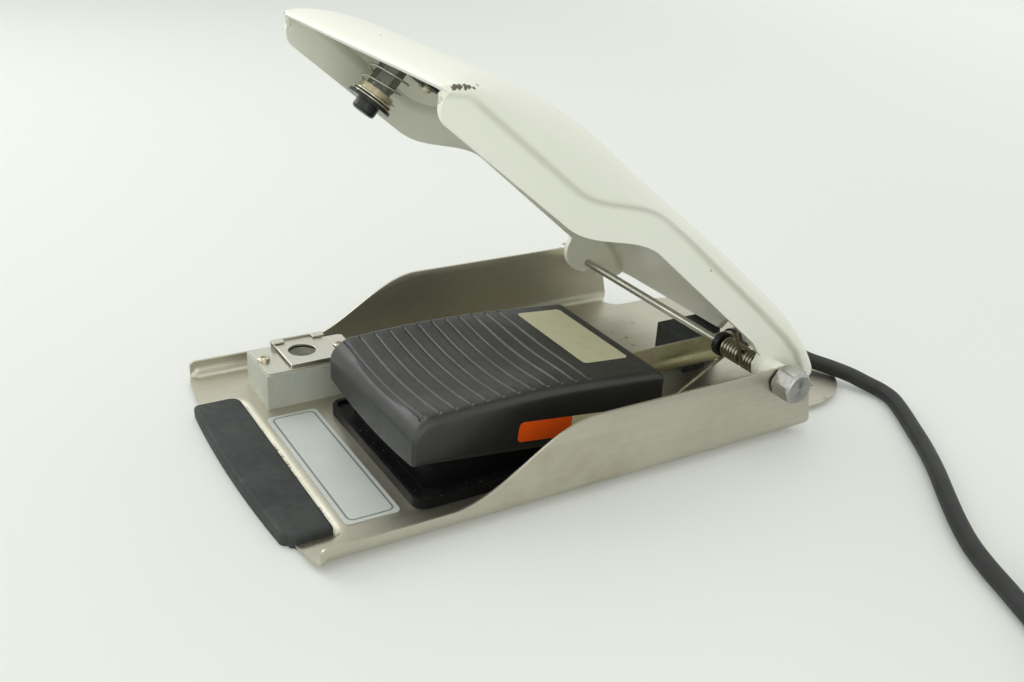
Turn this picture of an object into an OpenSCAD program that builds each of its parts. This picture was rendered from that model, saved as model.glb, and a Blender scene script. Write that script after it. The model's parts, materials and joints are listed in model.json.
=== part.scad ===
// Guarded foot switch: a pressed tray, a ribbed pedal switch, a sprung hinged cover that
// latches shut over it, and the switch's lead. Millimetres; the tray's front is toward -Y,
// up is +Z and the surface that it stands on is z = 0. The cover is drawn shut in its own
// modules and lifted to its open rest position.

/* [Tray] */
// Width over the two side walls
tray_width = 170; // [168:1:176]
// Length of the side walls
wall_length = 244; // [242:1:250]
// Height of the walls behind the S bend
wall_height = 36.9; // [36.5:0.1:38]
// Height of the walls in front of the S bend
front_wall = 8.5; // [7:0.5:12]
// Thickness of the sheet
sheet = 1.2; // [1:0.1:1.4]
// Floor that runs out behind the walls
tongue_length = 56; // [50:1:64]
// Floor that runs out in front of the walls, on the centre line
front_lip = 10; // [9:0.5:12]
// Rubber ahead of the front lip
bumper_nose = 4; // [3:0.5:6]
// Height of the rubber feet
foot_height = 2; // [2:0.5:3]
// Diameter of the rubber feet
foot_dia = 15; // [10:0.5:18]

/* [Cover] */
// Width over the cover's upper band
cover_width = 155; // [152:1:156]
// Wall of the casting
cover_wall = 3; // [2.5:0.1:3.2]
// Height of the cover's flat top above the tray's underside, shut
cover_top = 58; // [57:0.5:62]
// How far the sprung cover stands open
open_angle = 39.2; // [36:0.2:40]
// Inset of the skirts below the crease
skirt_inset = 2.5; // [1.5:0.1:2.8]

/* [Hinge] */
// Diameter of the hinge pin
pin_dia = 4; // [3:0.1:4.6]
// Radial play of turning parts
running_play = 0.05; // [0.03:0.01:0.08]
// Across the flats of the hinge caps
cap_flats = 15.5; // [13:0.5:18]
// Length of the hinge caps
cap_length = 10.8; // [9:0.2:13]
// Wire of the cover's torsion spring
torsion_wire = 1.6; // [1.2:0.1:1.8]
// Outside of the cover's torsion spring
torsion_dia = 10; // [9:0.2:11]

/* [Foot switch] */
// Width of the pedal
pedal_width = 86; // [80:1:88]
// Wall of the pedal
pedal_wall = 1.8; // [1.6:0.1:2]
// Depth of the hollow across the ribbed tread
tread_dip = 3.2; // [2:0.2:3.6]
// Number of ribs
rib_count = 12; // [6:1:12]
// Spacing of the ribs
rib_pitch = 7.23; // [6:0.05:7.3]
// How far the pedal tips
pedal_travel = 3; // [2:0.5:3]

/* [Latch] */
// Diameter of the catch's tip
tip_dia = 11.3; // [9:0.1:12]
// Hole in the latch plate
latch_hole = 13; // [12.6:0.1:13.4]
// How far the catch yields
catch_travel = 3; // [2:0.5:3]
// Spring of the catch, outside
catch_spring_dia = 20.4; // [19.4:0.2:21]

/* [Lead] */
// Outside of the conduit tube
tube_dia = 13; // [12.4:0.1:13.6]
// Diameter of the lead
cord_dia = 7.8; // [7:0.1:8]

/* [Hidden] */
$fn = 48;

// colours
steel = [0.72, 0.70, 0.66];
bright = [0.82, 0.82, 0.80];
ivory = [0.90, 0.90, 0.84];
black = [0.13, 0.13, 0.13];
charcoal = [0.27, 0.29, 0.28];
gold = [0.72, 0.66, 0.42];
cream = [0.88, 0.85, 0.72];
orange = [0.85, 0.36, 0.12];

// tray: front ends of the walls at y = 0, underside at z = 0
front_edge = front_lip + bumper_nose - (wall_length + tongue_length + front_lip + bumper_nose) / 2;
half = tray_width / 2;
bend = 6.2;
floor_half = half - bend;
tongue_half = floor_half - 8;
tongue_round = 38;
bow_span = 75;
bow = 4;
rise_from = 50;
rise_to = 118;
wall_round = 12;
front_foot = [65, 60];
rear_foot = [tongue_half - 12.8, wall_length + 18];

// hinge
hinge_y = wall_length - 24.4;
hinge_z = 31;
pin_r = pin_dia / 2;
pin_bore = pin_r + running_play;
washer_thick = 0.8;
cap_start = half + washer_thick;
pin_end = cap_start + 7.2;

// cover, shut
cover_half = cover_width / 2;
nose_y = -4.8;
nose_span = 79.8;
nose_power = 1.85;
lip_z = 31;
tail_from = hinge_y - 29.6;
tail_span = 60;
tail_z = 36;
tail_power = 2.5;
rear_edge_z = 41;
shoulder = [23, 14.5];
skirt_low = 22.2;
skirt_high = 38;
skirt_rise = [74, 122];
crease_lift = 13.3;
hinge_lobe = 12;
skirt_half = cover_half - skirt_inset;
// inner end of the hinge spring, and the room its toe leaves behind the switch
spring_from = skirt_half - 28.1;
toe_gap = 8.755;
plan_front = 10;
plan_rear = 24;

// latch and catch, one axis
latch_x = 27 - cover_half;
latch_y = 41;
latch_half = [14.4, 24];
block_top = 18.4;
guide_thick = 0.8;
slide_z = block_top + guide_thick + 1.2;
slide_thick = 1;
screw_spread = 18.9;
latch_screw_r = 1.5;
tip_z = 16.8;
disc_z = 21.8;
washer_r = 10.15;
stack_z = [disc_z, 23.4, 24.1, 24.8, 25.7, 29];
post_end = stack_z[4] + catch_travel + 0.2;
post_top = 44.1;
pad_z = 45.6;
shank_r = 3;
collar_r = 8.4;
catch_wire = 1.1;

// foot switch
switch_x = 22;
flange = [46.5, 43.7, 168.2];
body_front = 51.5;
body_rear = 165;
body_half = pedal_width / 2 - pedal_wall - 3;
body_wall = 2.5;
pedal_front = 43;
pedal_rear = 168;
pedal_round = 11;
tread_crown = 41.2;
tread_middle = 88;
pivot = [155, 27.5];
pivot_pin_r = 2;
pedal_lip = [18.5, 7.2];
rib_from = 48.8;
groove = 1.3;
groove_depth = 0.7;
dip_r = (pow(pedal_width / 2 - 5, 2) + pow(tread_dip, 2)) / (2 * tread_dip);
dip_slope = 1.6;
label_from = 135.8;
label_long = 24.3;
spring_y = 72;
microswitch_y = 100;
button_travel = tan(pedal_travel) * (pivot[0] - microswitch_y);

// lead
tube_z = 16.6;
tube_end = 238;
gland_end = 254;
gland_r = 11.6;
cord_r = cord_dia / 2;
coil_at = [280, 108];
coil_mean = [30.6, 54];
coil_r = [coil_mean[0] - cord_r, coil_mean[1] + cord_r];
coil_high = 15.6;
tie_thick = 0.8;
tie_wide = 12;
tie_angle = 60;
plug_at = [315, 51.9, 10.5];

cord_route = [
  [22, 111, 18.6], [22, 117, 18.3], [23, 125, 16.6], [26.5, 132.5, 13.6], [32, 139, 10.6],
  [40, 144.8, 8.2], [50, 150, 7.5], [60, 154.5, 6.6], [68, 158, 4.9], [76, 160, 4.1],
  [84, 159, 3.9], [92.5, 154.8, 3.9], [101, 149.8, 3.9], [109.5, 144.5, 3.9],
  [125, 134.8, 3.9], [141, 123.5, 3.9], [157, 110.8, 3.9], [172.5, 98.8, 3.9],
  [187, 89, 3.9], [200, 82.5, 3.9], [212, 77.6, 3.9], [223, 73, 3.9],
  [241, 65.6, 3.9], [258.9, 58.3, 3.9]
];
tail_route = [
  [270.6, 54.8, 11.7], [278, 53.5, 11.6], [285.4, 52.6, 11.4], [293, 52.1, 11.1],
  [300.3, 51.9, 10.8], [307.8, 51.9, 10.6], [315, 51.9, 10.5]
];

// ---------------------------------------------------------------- outlines and frames

function arc(cx, cy, r, from, to, n = 6) =
  [for (i = [0:n]) let (a = from + (to - from) * i / n) [cx + r * cos(a), cy + r * sin(a)]];

function signed_pow(v, p) = (v < 0 ? -1 : 1) * pow(abs(v), p);

// part of a superellipse with half axes a and b
function swell(cx, cy, a, b, power, from, to, n = 12) =
  [for (i = [0:n]) let (t = from + (to - from) * i / n)
    [cx + a * signed_pow(cos(t), 2 / power), cy + b * signed_pow(sin(t), 2 / power)]];

// cosine S between two points
function s_bend(p, q, n = 10) =
  [for (i = [0:n]) let (u = i / n) [p[0] + (q[0] - p[0]) * u, p[1] + (q[1] - p[1]) * (1 - cos(180 * u)) / 2]];

function rounded(x0, y0, x1, y1, r, n = 5) = concat(
  arc(x1 - r, y1 - r, r, 0, 90, n), arc(x0 + r, y1 - r, r, 90, 180, n),
  arc(x0 + r, y0 + r, r, 180, 270, n), arc(x1 - r, y0 + r, r, 270, 360, n));

function mirrored(pts) = [for (i = [len(pts) - 1:-1:0]) [-pts[i][0], pts[i][1]]];

function lift_all(pts, d) = [for (p = pts) [p[0], p[1] + d]];

// outline drawn in Y-Z, run along X
module across(x0, x1) {
  translate([x0, 0, 0]) rotate([90, 0, 90]) linear_extrude(x1 - x0) children();
}

// outline drawn in X-Z, run along Y
module along(y0, y1) {
  translate([0, y1, 0]) rotate([90, 0, 0]) linear_extrude(y1 - y0) children();
}

// outline drawn in X-Y, run along Z
module upright(z0, z1) {
  translate([0, 0, z0]) linear_extrude(z1 - z0) children();
}

module block(a, b) {
  translate(a) cube(b - a);
}

module bar_x(x0, x1, y, z, r) {
  translate([x0, y, z]) rotate([0, 90, 0]) cylinder(h = x1 - x0, r = r);
}

module bar_y(y0, y1, x, z, r) {
  translate([x, y1, z]) rotate([90, 0, 0]) cylinder(h = y1 - y0, r = r);
}

module bar_z(z0, z1, x, y, r) {
  translate([x, y, z0]) cylinder(h = z1 - z0, r = r);
}

module both_sides() {
  children();
  mirror([1, 0, 0]) children();
}

module in_tray() {
  translate([0, front_edge, foot_height]) children();
}

// from the cover's shut position to its open rest position
module lifted() {
  in_tray()
    translate([0, hinge_y, hinge_z])
      rotate([-open_angle, 0, 0])
        translate([0, -hinge_y, -hinge_z])
          children();
}

// round tube through a list of points; up fixes where its first corner lies
module tube_along(path, r, up, n = 8) {
  count = len(path);
  rings = [
    for (i = [0:count - 1])
      let (a = path[max(i - 1, 0)], b = path[min(i + 1, count - 1)])
      let (t = (b - a) / norm(b - a), s0 = cross(t, up), s = s0 / norm(s0), u = cross(s, t))
      for (k = [0:n - 1]) path[i] + r * (cos(360 * k / n) * s + sin(360 * k / n) * u)
  ];
  sides = [
    for (i = [0:count - 2])
      for (k = [0:n - 1])
        let (j = (k + 1) % n)
        for (f = [[i * n + k, i * n + j, (i + 1) * n + j], [i * n + k, (i + 1) * n + j, (i + 1) * n + k]]) f
  ];
  first = [for (k = [n - 1:-1:0]) k];
  last = [for (k = [0:n - 1]) (count - 1) * n + k];
  polyhedron(points = rings, faces = concat(sides, [first], [last]), convexity = 6);
}

module pan_screw(head_r, head_high, shank_r, shank_long) {
  rotate_extrude()
    polygon(concat(
      [[0, -shank_long], [shank_r, -shank_long], [shank_r, 0], [head_r, 0]],
      swell(0, head_high * 0.35, head_r, head_high * 0.65, 2.4, 0, 90, 6)));
}

// ---------------------------------------------------------------- tray and what it carries

function u_section(w, r, top) = concat(
  [[-w, top]], arc(-w + r, r, r, 180, 270), arc(w - r, r, r, 270, 360), [[w, top]]);

function wall_side() = concat(
  [[0, -1], [0, front_wall - 2.5]],
  [[1, front_wall - 0.6]],
  s_bend([rise_from, front_wall], [rise_to, wall_height]),
  arc(wall_length - wall_round, wall_height - wall_round, wall_round, 90, 0),
  [[wall_length, 6]],
  arc(wall_length - 6, 6, 6, 0, -90, 4),
  [[wall_length - 6, -1]]);

function bow_line(ahead) = [for (i = [-6:6]) let (x = i * half / 6) [x, -ahead + bow * pow(x / bow_span, 2)]];

function floor_half_outline() = concat(
  [[half, 0], [floor_half, 0], [floor_half, wall_length - 6]],
  arc(floor_half, wall_length + 2, 8, 270, 180),
  arc(tongue_half - tongue_round, wall_length + tongue_length - tongue_round, tongue_round, 0, 90, 10));

module floor_outline() {
  side = floor_half_outline();
  polygon(concat(bow_line(front_lip), side, mirrored(side)));
}

module tray() {
  in_tray() color(steel) difference() {
    union() {
      intersection() {
        along(0, wall_length) difference() {
          polygon(u_section(half, bend, wall_height));
          translate([0, sheet]) polygon(u_section(half - sheet, bend - sheet, wall_height));
        }
        across(-half - 1, half + 1) polygon(wall_side());
      }
      upright(0, sheet) floor_outline();
    }
    bar_x(-half - 1, half + 1, hinge_y, hinge_z, pin_bore);
  }
}

module feet() {
  in_tray() color(black) both_sides() {
    bar_z(-foot_height, 0, front_foot[0], front_foot[1], foot_dia / 2);
    bar_z(-foot_height, 0, rear_foot[0], rear_foot[1], foot_dia / 2);
  }
}

module front_bumper() {
  lip = bow_line(front_lip + bumper_nose);
  rear = 9;
  in_tray() color(black) difference() {
    intersection() {
      upright(-foot_height, sheet + 3) polygon(concat(lip, [[half, rear], [-half, rear]]));
      upright(-foot_height, sheet + 3) polygon(rounded(-50, -40, 67, rear, 5));
    }
    upright(0, sheet) floor_outline();
  }
}

module name_plate() {
  in_tray() color(bright) upright(sheet, sheet + 0.5) polygon(rounded(-28.1, 14.7, 64.8, 38.5, 2));
}

// ---------------------------------------------------------------- latch

module latch_block() {
  in_tray() color(steel) difference() {
    block([latch_x - latch_half[0], latch_y - 22.3, sheet], [latch_x + latch_half[0], latch_y + 26, block_top]);
    bar_z(6, block_top + 1, latch_x, latch_y, latch_hole / 2 + 0.5);
    for (s = [-1, 1])
      bar_z(8, block_top + 1, latch_x, latch_y + s * screw_spread, latch_screw_r + running_play);
  }
}

module latch_guide() {
  far = latch_x - latch_half[0] + 0.7;
  near = latch_x + latch_half[0] - 0.7;
  base = block_top + guide_thick;
  tab = slide_z + slide_thick + 0.3;
  in_tray() color(bright) {
    difference() {
      upright(block_top, base) polygon(rounded(far, latch_y - 21.5, near, latch_y + 25, 2));
      bar_z(block_top - 1, base + 1, latch_x, latch_y, latch_hole / 2 + 0.5);
      for (s = [-1, 1])
        bar_z(block_top - 1, base + 1, latch_x, latch_y + s * screw_spread, latch_screw_r + running_play);
    }
    block([far, latch_y - 11, base], [far + guide_thick, latch_y + 15, tab + guide_thick]);
    for (y = [latch_y - 11, latch_y + 9])
      block([far, y, tab], [far + 4.2, y + 6, tab + guide_thick]);
  }
}

module latch_slide() {
  far = latch_x - latch_half[0] + 1.8;
  near = latch_x + latch_half[0] - 1.2;
  front = latch_y - 10;
  rear = latch_y + 15;
  in_tray() color(bright) {
    difference() {
      upright(slide_z, slide_z + slide_thick)
        polygon([[far, front], [near, front], [near, rear], [far + 8, rear], [far, rear - 6]]);
      bar_z(slide_z - 1, slide_z + slide_thick + 1, latch_x, latch_y, latch_hole / 2);
    }
    for (x = [far + 0.6, near - slide_thick])
      block([x, front, block_top + guide_thick], [x + slide_thick, rear - 7, slide_z]);
  }
}

module latch_screws() {
  in_tray() color(bright)
    for (s = [-1, 1])
      translate([latch_x, latch_y + s * screw_spread, block_top + guide_thick])
        pan_screw(3, 2.3, latch_screw_r, 9);
}

// ---------------------------------------------------------------- hinge

module hinge_pin() {
  in_tray() color(steel) bar_x(-pin_end, pin_end, hinge_y, hinge_z, pin_r);
}

module hinge_caps() {
  in_tray() color(bright) both_sides() difference() {
    union() {
      translate([cap_start, hinge_y, hinge_z]) rotate([0, 90, 0]) rotate([0, 0, 12])
        cylinder(h = cap_length - 1, r = cap_flats / sqrt(3), $fn = 6);
      bar_x(cap_start, cap_start + cap_length, hinge_y, hinge_z, cap_flats / 2);
    }
    bar_x(cap_start - 1, pin_end + 0.1, hinge_y, hinge_z, pin_bore);
  }
}

module hinge_washers() {
  in_tray() color(black) both_sides() difference() {
    bar_x(half, cap_start, hinge_y, hinge_z, cap_flats / 2 + 0.75);
    bar_x(half - 1, cap_start + 1, hinge_y, hinge_z, pin_bore);
  }
}

module hinge_spacers() {
  in_tray() color(black) both_sides() difference() {
    bar_x(skirt_half + 0.1, half - sheet, hinge_y, hinge_z, 5.5);
    bar_x(skirt_half - 1, half, hinge_y, hinge_z, pin_bore);
  }
}

module retaining_ring() {
  in_tray() color(black) difference() {
    bar_x(spring_from - 4.4, spring_from - 1.1, hinge_y, hinge_z, 6);
    bar_x(spring_from - 5, spring_from, hinge_y, hinge_z, pin_bore);
  }
}

// a straight leg that runs onto a coil about the hinge axis, from x0 on
function leg_and_coil(start, reach, turns, x0, pitch) =
  let (r = (torsion_dia - torsion_wire) / 2, on = [0, cos(start), sin(start)], back = [0, sin(start), -cos(start)])
  concat(
    [for (u = [1, 0.5]) [x0, hinge_y, hinge_z] + r * on + u * reach * back],
    [for (i = [0:round(turns * 14)]) let (a = start + i * 360 / 14)
      [x0 + pitch * i / 14, hinge_y + r * cos(a), hinge_z + r * sin(a)]]);

// its leg is tangent to the coil and lands on the floor behind the foot switch
module spring_tray_end() {
  r = (torsion_dia - torsion_wire) / 2;
  toe = [flange[2] + toe_gap - hinge_y, sheet + torsion_wire / 2 + 0.15 - hinge_z];
  start = 360 + atan2(toe[1], toe[0]) + acos(r / norm(toe));
  reach = sqrt(pow(norm(toe), 2) - r * r);
  in_tray() color(steel) tube_along(leg_and_coil(start, reach, 6, spring_from, 2.05), torsion_wire / 2, [1, 0, 0]);
}

module spring_cover_end() {
  start = 198 + open_angle;
  r = (torsion_dia - torsion_wire) / 2;
  reach = (cover_top - cover_wall - hinge_z - r * sin(start) - torsion_wire / 2 - 0.15) / -cos(start);
  lifted() color(steel)
    tube_along(leg_and_coil(start, reach, 4, skirt_half - 13.2, 2.05), torsion_wire / 2, [1, 0, 0]);
}

// the cover's rear edge, open, 0.3 above the block's top; relieved for the gland
module stop_block() {
  reach = pow(1 - pow((rear_edge_z - tail_z) / (cover_top - tail_z), tail_power), 1 / tail_power);
  out = tail_from + tail_span * reach - hinge_y;
  drop = rear_edge_z - hinge_z;
  touch = hinge_z - out * sin(open_angle) + drop * cos(open_angle);
  in_tray() color(black) difference() {
    block([-9.6, hinge_y + 3.4, sheet], [15, hinge_y + 30.4, touch - 0.3]);
    block([switch_x - gland_r - 0.5, tube_end - 0.5, 0], [switch_x, gland_end + 1, touch]);
  }
}

// ---------------------------------------------------------------- cover, drawn shut

function top_line(o) = concat(
  swell(nose_y + nose_span, lip_z, nose_span - o, cover_top - lip_z - o, nose_power, 180, 90, 16),
  swell(tail_from, tail_z, tail_span - o, cover_top - tail_z - o, tail_power, 90,
    asin(pow((rear_edge_z - tail_z) / (cover_top - tail_z), tail_power / 2)), 10));

function skirt_line() = concat(
  [[hinge_y + 20.4, hinge_z + 2]],
  arc(hinge_y, hinge_z, hinge_lobe, 5, -185, 16),
  [[hinge_y - 14, hinge_z + 4.2], [hinge_y - 18, hinge_z + 5.2]],
  s_bend([skirt_rise[1], skirt_high], [skirt_rise[0], skirt_low]),
  arc(6.5, skirt_low + 8, 8, 270, 180, 5),
  [[-1.5, lip_z]]);

function crease_line() = concat(
  [[-20, lip_z - 6], [0, lip_z], [6, skirt_low + crease_lift]],
  s_bend([skirt_rise[0] - 8, skirt_low + crease_lift], [skirt_rise[1] - 8, skirt_high + 12]),
  [[140, 48.8], [204, 48.2], [220, 47], [232, 45], [242, 40], [270, 30]]);

module below_crease(x0, x1, d) {
  across(x0, x1) polygon(concat(lift_all(crease_line(), d), [[270, -5], [-20, -5]]));
}

module section(w, o) {
  polygon(concat(
    [[w, -5]],
    swell(w - shoulder[0] + o, cover_top - shoulder[1], shoulder[0] - o, shoulder[1] - o, 2, 0, 90, 8),
    swell(-w + shoulder[0] - o, cover_top - shoulder[1], shoulder[0] - o, shoulder[1] - o, 2, 90, 180, 8),
    [[-w, -5]]));
}

module plan(w, o, rear) {
  polygon(concat(
    arc(w - plan_rear + o, rear - plan_rear, plan_rear - o, 0, 90, 8),
    arc(-w + plan_rear - o, rear - plan_rear, plan_rear - o, 90, 180, 8),
    arc(-w + plan_front - o, nose_y + plan_front, plan_front - o, 180, 270, 6),
    arc(w - plan_front + o, nose_y + plan_front, plan_front - o, 270, 360, 6)));
}

module cover_hull(w, o) {
  intersection() {
    along(-30, 270) section(w, o);
    upright(-5, cover_top + 1) plan(w, o, tail_from + tail_span);
    children();
  }
}

module cover_outside() {
  difference() {
    cover_hull(cover_half, 0) across(-90, 90) polygon(concat(top_line(0), skirt_line()));
    for (i = [1:3])
      both_sides() below_crease(cover_half - skirt_inset * i / 3, 90, 2 * (2 - i));
  }
}

module cover_inside() {
  cover_hull(skirt_half - cover_wall, cover_wall)
    across(-90, 90) polygon(concat(top_line(cover_wall), [[tail_from + tail_span - cover_wall, -5], [-1.8, -5]]));
  difference() {
    cover_hull(cover_half - cover_wall, cover_wall)
      across(-90, 90) polygon(concat(top_line(cover_wall), [[tail_from + tail_span - cover_wall, -5], [-1.8, -5]]));
    below_crease(-90, 90, 2);
  }
}

module cover() {
  lifted() color(ivory) difference() {
    union() {
      difference() {
        cover_outside();
        cover_inside();
      }
      intersection() {
        cover_outside();
        upright(pad_z, cover_top)
          polygon(rounded(latch_x - 11, latch_y - 24.5, latch_x + 11, latch_y + 24.5, 6));
      }
    }
    bar_x(-90, 90, hinge_y, hinge_z, pin_bore);
    bar_y(hinge_y + 15, hinge_y + 40, switch_x, rear_edge_z - 2, tube_dia);
    for (s = [-1, 1])
      bar_z(pad_z - 1, pad_z + 3.2, latch_x, latch_y + s * screw_spread, 1.7 + running_play);
  }
}

// ---------------------------------------------------------------- catch, drawn shut

module catch_base() {
  lifted() color(black) difference() {
    upright(post_top, pad_z) polygon(rounded(latch_x - 9, latch_y - 23, latch_x + 9, latch_y + 23, 4));
    for (s = [-1, 1])
      bar_z(post_top - 1, pad_z + 1, latch_x, latch_y + s * screw_spread, 1.7 + running_play);
  }
}

module catch_screws() {
  lifted() color(bright)
    for (s = [-1, 1])
      translate([latch_x, latch_y + s * screw_spread, post_top]) rotate([180, 0, 0])
        pan_screw(3.25, 2.4, 1.7, 4.5);
}

module catch_post() {
  lifted() color(charcoal) difference() {
    union() {
      translate([latch_x, latch_y, post_end + 2]) cylinder(h = post_top - post_end - 2, r = 5.5 / cos(30), $fn = 6);
      bar_z(post_end, post_end + 2, latch_x, latch_y, 6);
    }
    bar_z(post_end - 1, post_end + 10.6, latch_x, latch_y, shank_r + running_play);
  }
}

module catch_tip() {
  lifted() color(black) translate([latch_x, latch_y, 0]) rotate_extrude() polygon(concat(
    [[0, tip_z]],
    arc(tip_dia / 2 - 1.6, tip_z + 1.6, 1.6, 270, 360),
    [[tip_dia / 2, disc_z], [washer_r + 0.55, disc_z], [washer_r + 0.55, stack_z[1]],
     [shank_r, stack_z[1]], [shank_r, post_end + 4], [0, post_end + 4]]));
}

module ring_z(z0, z1, outer, inner) {
  difference() {
    bar_z(z0, z1, latch_x, latch_y, outer);
    bar_z(z0 - 1, z1 + 1, latch_x, latch_y, inner);
  }
}

module catch_washers() {
  lifted() color(bright) {
    ring_z(stack_z[1], stack_z[2], washer_r, shank_r + running_play);
    ring_z(stack_z[3], stack_z[4], washer_r, shank_r + running_play);
  }
}

module catch_seal() {
  lifted() color(black) ring_z(stack_z[2], stack_z[3], washer_r - 0.7, shank_r + running_play);
}

module catch_collar() {
  lifted() color(gold) ring_z(stack_z[4], stack_z[5], collar_r, 6.75);
}

module catch_spring() {
  r = (catch_spring_dia - catch_wire) / 2;
  z0 = stack_z[4] + catch_wire / 2 + 0.05;
  z1 = post_top - catch_wire / 2 - 0.05;
  turns = 3;
  coil = [for (i = [0:turns * 18]) let (a = 20 * i)
    [latch_x + r * cos(a), latch_y + r * sin(a), z0 + (z1 - z0) * i / (turns * 18)]];
  lifted() color(steel) tube_along(coil, catch_wire / 2, [0, 0, 1]);
}

// ---------------------------------------------------------------- foot switch

module switch_base() {
  xs = [switch_x - flange[0], switch_x + flange[0]];
  x0 = switch_x - body_half;
  x1 = switch_x + body_half;
  in_tray() color(charcoal) difference() {
    union() {
      upright(sheet, 4) polygon(rounded(xs[0], flange[1], xs[1], flange[2], 6));
      difference() {
        upright(4, 6) polygon(rounded(xs[0], flange[1], xs[1], flange[2], 6));
        upright(3, 7) polygon(rounded(xs[0] + 2, flange[1] + 2, xs[1] - 2, flange[2] - 2, 4));
      }
      difference() {
        intersection() {
          upright(sheet, 40) polygon(rounded(x0, body_front, x1, body_rear, 4));
          across(x0 - 1, x1 + 1)
            polygon([[40, 0], [170, 0], [170, 30.6], [76, 32.4], [64, 31.4], [59, 30.2], [54.2, 27.4], [40, 27.2]]);
        }
        upright(4, 41)
          polygon(rounded(x0 + body_wall, body_front + body_wall, x1 - body_wall, body_rear - body_wall, 2));
      }
      bar_z(4, 8, switch_x, spring_y, 4.5);
    }
    bar_x(x0 - 1, x1 + 1, pivot[0], pivot[1], pivot_pin_r + running_play);
    bar_y(body_rear - 5, body_rear + 1, switch_x, tube_z, tube_dia / 2 + running_play);
  }
}

module pedal_pin() {
  in_tray() color(bright) bar_x(switch_x - body_half + 0.2, switch_x + body_half - 0.2, pivot[0], pivot[1], pivot_pin_r);
}

// crown of the tread along the pedal; behind the ribs it is one straight slope
function crown(y) = tread_crown - 1.3 * pow((y - tread_middle) / 36, 2);
rear_slope = (crown(130) - 36.55) / 35;

function pedal_top(o) = concat(
  arc(pedal_front + pedal_round, crown(56) - pedal_round, pedal_round - o, 180, 90, 6),
  [for (y = [66:8:122]) [y, crown(y) - o]],
  [[130, crown(130) - o]],
  arc(pedal_rear - 3, 33.55, 3 - min(o, 2.5), 80, 0, 3));

module pedal_section(w, o, r) {
  polygon(concat(
    [[switch_x + w, 0]],
    arc(switch_x + w - r, tread_crown - o - r, r, 0, 90),
    arc(switch_x - w + r, tread_crown - o - r, r, 90, 180),
    [[switch_x - w, 0]]));
}

// underside of the tread on its centre line
function tread_under(y) = tread_crown - tread_dip - 1.6 + (y - 40) * tan(dip_slope) - pedal_wall - 1.2;

// round-bottomed hollow along the tread, rising toward the rear
module tread_hollow(grow) {
  translate([switch_x, 40, tread_crown - tread_dip - 1.6 + dip_r]) rotate([dip_slope - 90, 0, 0])
    cylinder(h = 96, r = dip_r + grow, $fn = 240);
}

module switch_pedal() {
  w = pedal_width / 2;
  under = pedal_wall + 1.2;
  in_tray() color(charcoal) difference() {
    union() {
      difference() {
        intersection() {
          along(40, 172) pedal_section(w, 0, 4);
          across(switch_x - w - 1, switch_x + w + 1) polygon(concat(
            pedal_top(0),
            [[pedal_rear, pedal_lip[1]], [pedal_front + 5, pedal_lip[0] + 2], [pedal_front, pedal_lip[0]]]));
          upright(0, 50) polygon(rounded(switch_x - w, pedal_front, switch_x + w, pedal_rear, 4));
        }
        difference() {
          intersection() {
            along(pedal_front + pedal_wall, pedal_rear - pedal_wall) pedal_section(w - pedal_wall, under, 2.5);
            across(switch_x - w, switch_x + w) polygon(concat(
              lift_all(pedal_top(pedal_wall), -1.2), [[pedal_rear, 5], [pedal_front, 5]]));
            upright(0, 50) polygon(rounded(switch_x - w + pedal_wall, pedal_front + pedal_wall,
              switch_x + w - pedal_wall, pedal_rear - pedal_wall, 2.5));
          }
          intersection() {
            tread_hollow(under);
            block([switch_x - w, pedal_front, 30], [switch_x + w, 134, 60]);
          }
        }
      }
      for (s = [-1, 1])
        translate([switch_x + s * (body_half - body_wall - 3) - 2, 0, 0])
          across(0, 4) polygon(concat(
            [[pivot[0] + 5, 34.6], [pivot[0] - 5, 35.4]],
            arc(pivot[0], pivot[1], 5, 180, 360, 8)));
      bar_z(30.5, 37, switch_x, spring_y, 2.5);
    }
    tread_hollow(0);
    intersection() {
      tread_hollow(groove_depth);
      for (i = [0:rib_count - 1])
        block([switch_x - 39, rib_from + rib_pitch * i - groove / 2, 30],
              [switch_x + 38.5, rib_from + rib_pitch * i + groove / 2, 60]);
    }
    bar_x(switch_x - w + under, switch_x + w - under, pivot[0], pivot[1], pivot_pin_r + running_play);
    bar_y(pedal_rear - 3, pedal_rear + 1, switch_x, tube_z, tube_dia / 2 + 1.2);
    block([switch_x - tube_dia / 2 - 1.2, pedal_rear - 3, 0], [switch_x + tube_dia / 2 + 1.2, pedal_rear + 1, tube_z]);
  }
}

module rating_label() {
  in_tray() color(cream) translate([-11.5, 130, crown(130)]) rotate([-atan(rear_slope), 0, 0])
    upright(0, 0.3) polygon(rounded(0, label_from - 130, 58.3, label_from - 130 + label_long, 2));
}

// set parallel to the pedal's lower edge
module side_label() {
  x = switch_x + pedal_width / 2;
  in_tray() color(orange) translate([0, 91.2, 19.6]) rotate([-6.6, 0, 0])
    across(x, x + 0.2) polygon(rounded(0, 0, 62, 9.3, 2.2));
}

module pedal_spring() {
  wire = 1.4;
  r = 5.6;
  z0 = 4 + wire / 2 + 0.05;
  z1 = tread_under(spring_y - 6) - wire / 2 - 0.1;
  turns = 6;
  coil = [for (i = [0:turns * 14]) let (a = i * 360 / 14)
    [switch_x + r * cos(a), spring_y + r * sin(a), z0 + (z1 - z0) * i / (turns * 14)]];
  in_tray() color(steel) tube_along(coil, wire / 2, [0, 0, 1]);
}

module microswitch() {
  y = microswitch_y;
  in_tray() color(black) difference() {
    block([switch_x - 14, y - 5.2, 4], [switch_x + 14, y + 5.2, 27]);
    block([switch_x - 2.2, y - 2.2, 20], [switch_x + 2.2, y + 2.2, 28]);
  }
}

module microswitch_button() {
  y = microswitch_y;
  in_tray() color(orange) block([switch_x - 2, y - 2, 20.3 + button_travel], [switch_x + 2, y + 2, tread_under(y - 2) - 0.2]);
}

// ---------------------------------------------------------------- lead

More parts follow.
